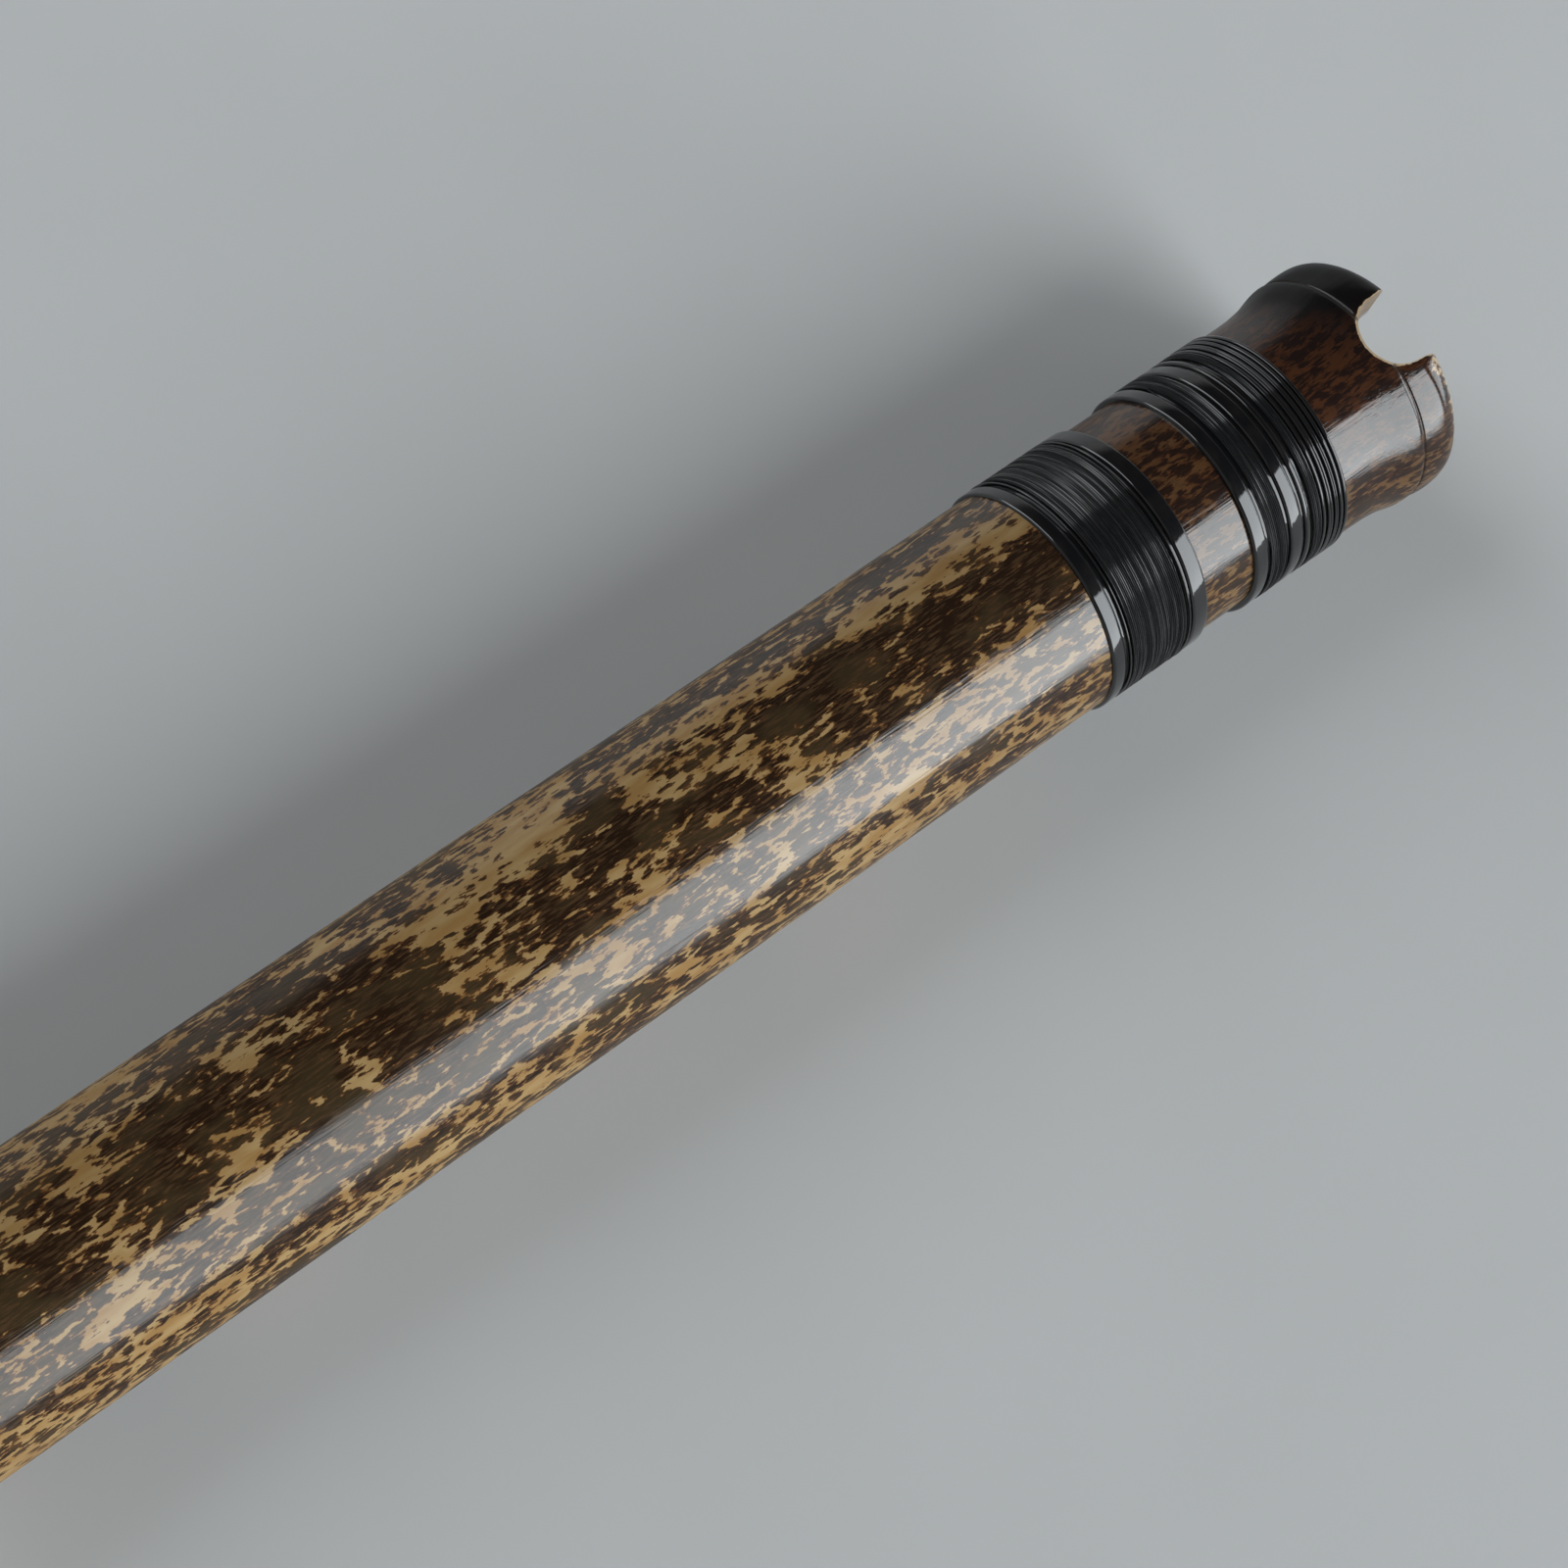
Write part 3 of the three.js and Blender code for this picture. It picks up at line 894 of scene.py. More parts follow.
@dataclass(frozen=True)
class Finishes:
    """All finishes of the flute."""

    bamboo: Material
    cut: Material
    bore: Material
    lacquer: Material
    thread: Material
    tenon: Material
    packing: Material
    metal: Material

    @classmethod
    def make(cls) -> "Finishes":
        """Makes every finish once."""
        bore = GlossLacquer("bore_lacquer", (0.085, 0.012, 0.008), (0.05, 0.007, 0.005))
        lacquer = GlossLacquer("black_lacquer", (0.004, 0.004, 0.0045), (0.008, 0.007, 0.007))
        thread = WoundThread("black_thread", (0.003, 0.003, 0.0035), (0.009, 0.009, 0.010), 1.0)
        packing = WoundThread("packing_thread", (0.24, 0.030, 0.018), (0.33, 0.07, 0.04), 0.3)
        return cls(
            bamboo=MottledBamboo().material(),
            cut=CutBamboo().material(),
            bore=bore.material(),
            lacquer=lacquer.material(),
            thread=thread.material(),
            tenon=TurnedBamboo().material(),
            packing=packing.material(),
            metal=NickelSilver().material(),
        )


@dataclass(frozen=True)
class Blotch:
    """One place where the mottling gathers, or thins out where its depth is below nothing."""

    place: float
    degrees: float
    half_length: float
    half_width: float
    depth: float

    def over(self, place: np.ndarray, angle: np.ndarray, radius: float) -> np.ndarray:
        """Depth of the blotch at points of the culm.

        Args:
            place: places of the points.
            angle: angles of the points.
            radius: radius of the culm.

        Returns:
            Its depth there.
        """
        turn = angle - math.radians(self.degrees)
        arc = radius * np.arctan2(np.sin(turn), np.cos(turn))
        along = near(place, self.place, self.half_length)
        return self.depth * along * bump(arc, self.half_width)


@dataclass(frozen=True)
class Scatter:
    """Mottling of a stretch that the photograph doesn't show: seeded clusters and bare patches."""

    seed: int
    count: int
    places: Range
    degrees: Range
    dark_share: float = 0.52
    half_lengths: Range = (4.0, 12.0)
    half_widths: Range = (2.5, 6.0)
    dark_depths: Range = (0.8, 1.5)
    bare_depths: Range = (0.8, 1.4)

    def blotches(self) -> list[Blotch]:
        """Draws the blotches, about as many dark as bare."""
        rng = np.random.default_rng(self.seed)
        found = []
        for _ in range(self.count):
            gathers = rng.random() < self.dark_share
            place, degrees, half_length, half_width = (
                rng.uniform(*stretch)
                for stretch in (self.places, self.degrees, self.half_lengths, self.half_widths)
            )
            depth = rng.uniform(*self.dark_depths) if gathers else -rng.uniform(*self.bare_depths)
            found.append(Blotch(place, degrees, half_length, half_width, depth))
        return found


# Mottling of the head culm as the photograph shows it: place, degrees, half sizes and depth
HEAD_BLOTCHES = tuple(Blotch(*row) for row in (
    (72, -11, 6, 4, 1.0), (84, -9, 6, 3.5, 1.0), (79, -2, 9, 3, 0.8),
    (92, -17, 3.5, 1.5, 0.8), (101, -22, 6, 3.5, 1.5), (112, -12, 7, 3, 1.2),
    (103, -8, 12, 3, 1.0), (110, 5, 22, 1.6, 0.8), (127, 13, 10, 2.4, 0.9),
    (101, 14, 7, 2.2, 0.8), (88, 11, 6, 3, 0.9), (70, 4, 6, 3, 0.9),
    (141, -27, 5, 4, 1.5), (138, -14, 5, 4, 1.4), (143, -5, 5, 2.5, 1.0),
    (130, -5, 8, 1.8, 0.9), (152, -18, 4, 3, 1.1), (158, 4, 10, 3, 1.0),
    (150, 14, 7, 3, 1.0), (174, -12, 5, 4, 1.0), (183, -20, 7, 5, 1.3),
    (176, 21, 7, 5, 1.4), (178, 2, 5, 4, 1.1), (195, 10, 7, 4.5, 1.4),
    (193, -4, 6, 3, 0.9), (206, -19, 6, 4.5, 1.5), (214, -6, 7, 5, 1.3),
    (215, 10, 5, 4, 1.1), (231, 14, 6, 4, 1.2), (226, -14, 5, 4, 0.8),
    (85, -50, 20, 2.5, 1.2), (118, -48, 12, 2, 0.7), (165, -45, 9, 3, 1.0),
    (199, -44, 5, 3.5, 1.0), (213, -47, 9, 2, 0.9), (186, -36, 3, 3, 1.0),
    (80, -31, 12, 4, -1.1), (70, -24, 5, 3, -1.0), (95, -33, 5, 2.5, -1.1),
    (122, -35, 13, 2.5, -1.3), (133, -26, 4, 5, -1.2), (131, -14, 4, 2.5, -1.0),
    (124, -11, 5, 1.8, -0.9), (118, -6, 2.5, 1.4, -1.0), (148, -16, 2.5, 4, -1.2),
    (148, -48, 9, 6, -1.2), (151, -32, 6, 3, -0.9), (143.5, 3, 4, 1.2, -1.4),
    (140.5, 14, 5, 2.6, -1.3), (112, 2, 5, 1.1, -1.4), (113, 13, 5, 2.6, -1.3),
    (95, 9, 3, 1.3, -1.1), (77, 10, 4, 1.5, -1.1), (163, -26, 11, 4, -1.3),
    (167, -10, 3.5, 4, -1.1), (170.5, 6, 4, 2, -1.2), (160, 15, 4, 3, -1.1),
    (186.5, 13, 3.5, 4, -1.3), (197, -6, 2.5, 1.4, -1.1), (199, -29, 5, 3.5, -1.2),
    (188, -22, 2.5, 2.5, -1.0), (206, 14, 6, 4, -1.1), (215, -34, 8, 2.5, -1.1),
    (222, 14, 4, 4, -1.1), (221, -14, 4, 3, -0.9), (213, -57, 9, 2, -1.2),
    (180, -50, 4, 1.5, -1.0), (113, 61, 5, 3.5, -1.2), (88, 69, 18, 1.4, -1.2),
    (140, 68, 9, 2.2, -1.0), (222, 63, 12, 2.5, -1.1), (190, 72, 14, 2, -1.0),
    (166, 70, 7, 2, -1.0), (125, 62, 6, 3, 0.7), (95, 60, 9, 2.2, 0.6),
    (190, 57, 16, 2, 0.6), (150, 60, 6, 3, 0.6),
))


@dataclass(frozen=True)
class Notch:
    """Blowing notch: a U cut into the mouth end from above, its floor falling towards the bore."""

    radius: float = 5.5
    width: float = 11.8
    depth: float = 9.6
    slant: float = math.radians(20)
    arc_steps: int = 48
    floor: float = 2.0
    overrun: float = 3.0
    round_width: float = 0.7
    round_depth: float = 0.28
    top: float = 18.55  # radius at which the U has its depth

    @property
    def middle(self) -> float:
        """Place of the middle of the U's round part."""
        return self.depth - self.radius

    def distance(self, place: np.ndarray, across: np.ndarray) -> np.ndarray:
        """Distance outside the U, seen from above.

        Args:
            place: places of the points.
            across: distances of the points from the flute's middle plane.

        Returns:
            The distance, below nothing inside the U.
        """
        flare = (self.width / 2 - self.radius) * np.clip(1 - place / self.middle, 0, 1)
        beside = np.abs(across) - self.radius - flare
        below = np.hypot(place - self.middle, across) - self.radius
        return np.where(place > self.middle, below, beside)

    def rounding(self, place: np.ndarray, angle: np.ndarray, radius: float) -> np.ndarray:
        """Height that the worn edge of the U loses.

        Args:
            place: places of the points.
            angle: angles of the points.
            radius: radius of the culm.

        Returns:
            The lost height.
        """
        outside = self.distance(place, radius * np.sin(angle))
        lost = self.round_depth * fading(outside, self.round_width)
        return np.where(np.cos(angle) > 0, lost, 0.0)

    def cutter(self) -> Object:
        """Solid that cuts the notch."""
        turn = np.linspace(math.pi / 2, -math.pi / 2, self.arc_steps + 1)
        start, half = -self.overrun, self.width / 2
        place = np.concatenate([[start, 0], self.middle + self.radius * np.cos(turn), [0, start]])
        across = np.concatenate([[half, half], self.radius * np.sin(turn), [-half, -half]])
        ends = []
        for height in (self.floor, self.top + self.overrun):
            slid = place - (self.top - height) * math.tan(self.slant)
            ends.append(level_points(AXIS.length / 2 - slid, across, AXIS.height + height))
        return prism("notch_cutter", *ends)


@dataclass(frozen=True)
class FingerHole:
    """One finger hole, at the front of the flute or at its back."""

    place: float
    at_back: bool = False
    radius: float = 5.25
    sides: int = 64
    overrun: float = 3.0
    round_width: float = 1.1
    round_depth: float = 0.4

    @property
    def side(self) -> int:
        """Side that it opens on: one for the front, minus one for the back."""
        return -1 if self.at_back else 1

    def distance(
        self, place: np.ndarray, angle: np.ndarray, radius: np.ndarray | float
    ) -> np.ndarray:
        """Distance outside the hole's rim, seen straight on.

        Args:
            place: places of the points.
            angle: angles of the points.
            radius: radius of the culm.

        Returns:
            The distance, large on the other side of the flute.
        """
        away = np.hypot(place - self.place, radius * np.sin(angle)) - self.radius
        return np.where(self.side * np.cos(angle) > 0, away, radius)

    def cutter(self, reach: float) -> Object:
        """Solid that cuts the hole.

        Args:
            reach: radius of the culm there.

        Returns:
            The cutter.
        """
        turn = circle(self.sides)
        x = AXIS.length / 2 - self.place + self.radius * np.cos(turn)
        y = self.radius * np.sin(turn)
        middle = AXIS.height + float(AXIS.rise(np.array(self.place)))
        heights = (0.0, self.side * (reach + self.overrun))
        return prism("hole_cutter", *(level_points(x, y, middle + height) for height in heights))


SKIN_SLOPE = 0.42  # least outward part of the normal of a face in the skin
SKIN_MARGIN = 0.5  # height over the bore below which no face is skin


def skin_and_cut(mesh: Mesh, bore: float) -> None:
    """Marks faces that don't lie in the bamboo's skin as cut ones.

    Args:
        mesh: mesh of a culm, whose second material is cut bamboo.
        bore: radius within which nothing is skin.
    """
    count = len(mesh.polygons)
    normal = np.empty(count * 3)
    middle = np.empty(count * 3)
    mesh.polygons.foreach_get("normal", normal)
    mesh.polygons.foreach_get("center", middle)
    normal = normal.reshape(-1, 3)
    place, radius, angle = AXIS.place_and_angle(middle.reshape(-1, 3))
    outwards = normal[:, 2] * np.cos(angle) - normal[:, 1] * np.sin(angle)
    cut = (outwards < SKIN_SLOPE) | (radius < bore + SKIN_MARGIN)
    mesh.polygons.foreach_set("material_index", cut.astype(np.int32))


# Degrees from the top, and share of its gloss that the lacquer keeps: less where hands hold it
POLISH_ROUND = ((46, 1.0), (60, 0.5), (110, 0.5), (150, 0.7))


def polish_round(angle: np.ndarray) -> np.ndarray:
    """Share of its gloss that the lacquer keeps at angles from the top."""
    return np.interp(np.abs(np.degrees(angle)), *zip(*POLISH_ROUND))


@dataclass
class Culm(ABC):
    """What the two bamboo sections share: each gives its own shapes, cutters and ageing."""

    finishes: Finishes
    section: str = "head"
    body: Body = Body.HEAD
    sides: int = 360
    bore: float = 11.2
    recess_depth: float = 1.4
    seat_depth: float = 1.7
    joint_radius: float = 17.2
    blotch_radius: float = 17.0
    wave: float = 0.03
    second_wave: float = 0.7  # share of the first
    wave_lengths: Range = (31.0, 23.0)  # for one radian
    wave_phase: float = 1.0

    @property
    def ring(self) -> Span:
        """Room of the ring at its joint."""
        return Span.of(f"{self.section}_joint_ring")

    def ring_seat(self) -> np.ndarray:
        """Rows of place and radius under the ring."""
        ring = self.ring
        return outline([ring.start, ring.end], ring.radius - self.seat_depth)

    def recess(self, bed: Span, before: float, after: float) -> np.ndarray:
        """Groove under a binding.

        Args:
            bed: room of the binding's bed.
            before: radius of the culm before it.
            after: radius of the culm after it.

        Returns:
            Rows of place and radius.
        """
        floor = min(before, after) - self.recess_depth
        return outline([bed.start, bed.start, bed.end, bed.end], [before, floor, floor, after])

    def waves(self, place: np.ndarray, angle: np.ndarray) -> np.ndarray:
        """Natural waves of the culm, which only take away.

        Args:
            place: places of the points.
            angle: angles of the points.

        Returns:
            Height to add.
        """
        first, second = self.wave_lengths
        waves = np.sin(2 * angle + place / first)
        waves += self.second_wave * np.sin(3 * angle - place / second + self.wave_phase)
        return self.wave * (waves - (1 + self.second_wave))

    def layout(
        self, blotches: Iterable[Blotch], place: np.ndarray, angle: np.ndarray
    ) -> np.ndarray:
        """Depth of all blotches together.

        Args:
            blotches: the blotches.
            place: places of the points.
            angle: angles of the points.

        Returns:
            The depth at each point.
        """
        return sum(blotch.over(place, angle, self.blotch_radius) for blotch in blotches)

    @abstractmethod
    def solid(self) -> Object:
        """Makes the culm, still uncut."""

    @abstractmethod
    def lining(self) -> Object:
        """Makes the lining, still uncut."""

    @abstractmethod
    def cutters(self) -> list[Object]:
        """Makes the solids that cut the openings."""

    @abstractmethod
    def dress_points(self, mesh: Mesh) -> None:
        """Stores what the finish needs at each point.

        Args:
            mesh: mesh of the culm.
        """

    def build(self) -> None:
        """Makes the culm and its lining."""
        culm = self.solid()
        carve(culm, self.cutters())
        self.dress_points(culm.data)
        bamboo = [self.finishes.bamboo, self.finishes.cut]
        dress(culm, self.body, f"{self.section}_culm", bamboo)
        skin_and_cut(culm.data, self.bore)
        tube = self.lining()
        carve(tube, self.cutters())
        lacquer = [self.finishes.bore]
        dress(tube, self.body, f"{self.section}_bore_lining", lacquer)


@dataclass
class HeadCulm(Culm):
    """Upper bamboo section, with the flare at the mouth and the blowing notch."""

    notch: Notch = Notch()
    # Place and radius along the flare at the mouth, with the line of its node
    flare: tuple[Range, ...] = (
        (0.0, 15.7), (0.12, 16.3), (0.45, 16.85), (1.1, 17.5), (1.9, 18.05), (3.0, 18.4),
        (4.4, 18.54), (5.8, 18.5), (6.8, 18.40), (7.25, 18.32), (7.5, 18.17), (7.75, 18.30),
        (8.3, 18.42), (9.2, 18.3), (10.2, 18.05), (11.6, 17.68), (13.2, 17.36), (15.2, 17.12),
        (17.5, 17.03), (19.6, 17.02), (21.2, 17.04),
    )
    flare_steps: int = 5
    flare_radius: float = 18.0
    neck_radius: float = 17.05
    waist_radius: float = 16.75  # between the bindings
    waist_step: float = 1.0
    below_radius: float = 16.95
    below_step: float = 2.0
    node_place: float = 7.5
    node_line: Range = (0.6, 0.24)  # strength and half width
    knot_height: float = 0.05
    knot_reach: float = 5.0
    lining_wall: float = 0.9
    mouth_edge: float = 0.3
    unseen: tuple[Scatter, ...] = (
        Scatter(3, 95, (64, 256), (98, 278)),
        Scatter(4, 8, (240, 258), (-80, 98)),
    )
    # Stain of the flare, between the bindings and below them, and how fast each ends
    flare_stain: float = 0.15
    flare_end: Range = (32.0, 12.0)
    between_stain: float = 0.68
    between_reach: float = 6.0
    near_stain: float = 0.22
    near_reach: float = 45.0
    # Painted light: the stain thins where the bright window falls, in degrees: middle and half
    # width, and the share that goes
    painted_light_side: Range = (85.0, 40.0)
    painted_light_share: float = 0.75
    painted_light_share_flare: float = 0.45
    scorch_strength: float = 1.6
    scorch_side: Range = (12.0, 50.0)  # degrees where it ends, and over which it falls
    scorch_lip: Range = (5.0, 9.0)  # place up to which it is full, and half width of its end
    scorch_back: float = 120.0  # degrees
    # Strength and width of the worn edges, and degrees between which the lip's edge is worn
    notch_wear: Range = (0.75, 0.8)
    lip_wear: Range = (0.80, 7.0)
    lip_wear_start: Range = (8.0, 14.0)
    lip_wear_end: Range = (100.0, 30.0)
    # Strength of the worn corner, and its place and degrees, each with a half width
    corner_wear: float = 0.66
    corner_place: Range = (1.5, 2.6)
    corner_degrees: Range = (25.0, 10.0)
    # Place and share of the gloss that playing leaves
    polish_along: tuple[Range, ...] = ((75, 1.0), (125, 0.8), (190, 0.5))
    scorch_dulls: float = 0.7

    def outside(self) -> np.ndarray:
        """Rows of place and radius along the outside, from the mouth to the joint."""
        mouth_bed = Span.of("mouth_binding_bed")
        neck_bed = Span.of("neck_binding_bed")
        neck, waist, below = self.neck_radius, self.waist_radius, self.below_radius
        between = spaced(mouth_bed.end, neck_bed.start, self.waist_step)[1:-1]
        ends = (neck_bed.end, self.ring.start)
        long = spaced(*ends, self.below_step)[1:]
        return np.concatenate([
            smooth_curve(self.flare, self.flare_steps),
            self.recess(mouth_bed, neck, waist),
            outline(between, waist),
            self.recess(neck_bed, waist, below),
            outline(long, np.interp(long, ends, (below, self.joint_radius))),
            self.ring_seat(),
        ])

    def relief(self, place: np.ndarray, angle: np.ndarray) -> np.ndarray:
        """Waves of the culm, knots of its node, and the rounded edge of the notch.

        Args:
            place: places of the points.
            angle: angles of the points.

        Returns:
            Height to add.
        """
        knots = np.sin(5 * angle + 1.2) + np.sin(3 * angle - 0.7) + np.sin(9 * angle + place)
        near_node = near(place, self.node_place, self.knot_reach)
        settle = self.waves(place, angle) + self.knot_height * (knots - 3) * near_node
        return settle - self.notch.rounding(place, angle, self.flare_radius)

    def stain(self, place: np.ndarray, degrees: np.ndarray) -> np.ndarray:
        """Dark stain from the mouth to below the bindings, weaker on the near side, where it is
        thinned as painted light from the bright window.

        Args:
            place: places of the points.
            degrees: their angles in degrees.

        Returns:
            Its share at each point.
        """
        neck = Span.of("neck_binding_bed")
        flare = falling(place, *self.flare_end)
        below = self.near_stain * falling(place, neck.end + self.near_reach, self.near_reach)
        between = falling(place, neck.start + self.between_reach, self.between_reach)
        bindings = self.between_stain * between + self.flare_stain * flare
        # painted light: the stain is thinned on the -Y side, where the bright window lights the
        # flute
        painted_light_cut = self.painted_light_share + (self.painted_light_share_flare - self.painted_light_share) * flare
        stain_after_painted_light = 1 - painted_light_cut * near(degrees, *self.painted_light_side)
        return np.clip(below + bindings * stain_after_painted_light, 0, 1)

    def scorch(self, place: np.ndarray, degrees: np.ndarray) -> np.ndarray:
        """Scorched skin of the lip, on top and towards the back.

        Args:
            place: places of the points.
            degrees: their angles in degrees.

        Returns:
            Its share at each point.
        """
        full, width = self.scorch_lip
        lip = bump(np.maximum(place - full, 0), width)
        share = falling(degrees, *self.scorch_side) * lip * self.scorch_strength
        return np.clip(share, 0, 1) * (np.abs(degrees) < self.scorch_back)

    def wear(self, place: np.ndarray, radius: np.ndarray, angle: np.ndarray) -> np.ndarray:
        """Worn wood of the notch's edge, the lip's right edge and the corner between them.

        Args:
            place: places of the points.
            radius: radii of the points.
            angle: angles of the points.

        Returns:
            Its share at each point.
        """
        degrees = np.degrees(angle)
        strength, width = self.notch_wear
        outside = self.notch.distance(place, radius * np.sin(angle))
        notch = strength * fading(outside, width) * (np.cos(angle) > 0)
        strength, width = self.lip_wear
        right = rising(degrees, *self.lip_wear_start) * falling(degrees, *self.lip_wear_end)
        lip = strength * fading(place, width) * right
        corner = self.corner_wear * near(place, *self.corner_place)
        corner *= near(degrees, *self.corner_degrees)
        return np.maximum(np.maximum(notch, lip), corner)

    def dress_points(self, mesh: Mesh) -> None:
        """Stores what the finish needs at each point.

        Args:
            mesh: mesh of the culm.
        """
        place, radius, angle = AXIS.place_and_angle(mesh_points(mesh))
        degrees = np.degrees(angle)
        unseen = [blotch for scatter in self.unseen for blotch in scatter.blotches()]
        store(mesh, "layout", self.layout([*HEAD_BLOTCHES, *unseen], place, angle))
        # the stored stain is real stain, thinned on the -Y side as painted light
        store(mesh, "stain", self.stain(place, degrees))
        scorch = self.scorch(place, degrees)
        store(mesh, "scorch", scorch)
        polish = np.interp(place, *zip(*self.polish_along)) * polish_round(angle)
        store(mesh, "gloss", polish * (1 - self.scorch_dulls * scorch))
        store(mesh, "wear", self.wear(place, radius, angle))
        strength, half_width = self.node_line
        store(mesh, "line", strength * near(place, self.node_place, half_width))

    def cutters(self) -> list[Object]:
        """Makes the solid that cuts the notch."""
        return [self.notch.cutter()]

    def solid(self) -> Object:
        """Makes the culm, still uncut, with its hole for the tenon."""
        lining = Span.of("head_bore_lining")
        socket = Span.of("tenon").radius + FIT_GAP
        places = [self.ring.end, lining.end, lining.end, 0]
        inside = outline(places, [socket, socket, self.bore, self.bore])
        return ring_solid("head_bamboo", self.outside(), inside, self.sides, self.relief)

    def lining(self) -> Object:
        """Makes the lining, still uncut, its edge broken at the mouth."""
        span = Span.of("head_bore_lining")
        bore, edge = span.radius - self.lining_wall, self.mouth_edge
        skin = outline([span.start, span.end], span.radius + LINING_OVERLAP)
        inside = outline([span.end, span.start + edge, span.start], [bore, bore, bore + edge])
        return ring_solid("head_bore_lacquer", skin, inside, self.sides // 2)


@dataclass(frozen=True)
class Nub:
    """One ground-down root: a low round bump with a sunken middle."""

    place: float
    angle: float
    radius: float
    height: float


@dataclass(frozen=True)
class CutRoots:
    """Rows of ground-down roots below the nodes of the root end."""

    first_count: int = 11
    more_each_row: int = 2
    jitter: float = 0.25
    below_node: float = 3.6
    spread: float = 1.6
    stagger: float = 1.2
    radii: Range = (1.3, 2.1)
    heights: Range = (0.35, 0.6)
    dip: float = 0.6  # share of the height
    dip_width: float = 0.35  # share of the radius, like the two below
    none_near: float = 9.0
    culm_radius: float = 22.5
    foot_margin: float = 3.0
    seed: int = 11

    def nubs(self, nodes: Iterable[float]) -> list[Nub]:
        """Draws the cut roots.

        Args:
            nodes: places of the nodes that they grew from.

        Returns:
            The cut roots that lie clear of the foot.
        """
        rng = np.random.default_rng(self.seed)
        found = []
        for row, node in enumerate(nodes):
            count = self.first_count + self.more_each_row * row
            for index in range(count):
                around, along = rng.uniform(-self.jitter, self.jitter, 2)
                angle = (index + around) * FULL_TURN / count + row
                place = node + self.below_node + self.spread * along + self.stagger * (index % 2)
                size = rng.uniform(*self.radii)
                found.append(Nub(place, angle % FULL_TURN, size, rng.uniform(*self.heights)))
        return [nub for nub in found if nub.place + nub.radius < AXIS.length - self.foot_margin]

    def shape(
        self, nubs: Iterable[Nub], place: np.ndarray, angle: np.ndarray
    ) -> tuple[np.ndarray, np.ndarray]:
        """Height of the cut roots, and where their rings and middles are.

        Args:
            nubs: the cut roots.
            place: places of the points.
            angle: angles of the points.

        Returns:
            Height to add, and the distance from the nearest cut root's middle in its radii.
        """
        height = np.zeros_like(place)
        nearest = np.full_like(place, self.none_near)
        for nub in nubs:
            turn = np.arctan2(np.sin(angle - nub.angle), np.cos(angle - nub.angle))
            away = np.hypot(place - nub.place, self.culm_radius * turn) / nub.radius
            dome = np.sqrt(np.clip(1 - away**2, 0, 1))
            hollow = self.dip * bump(away, self.dip_width)
            height = np.maximum(height, nub.height * (dome - hollow))
            nearest = np.minimum(nearest, away)
        return height, nearest


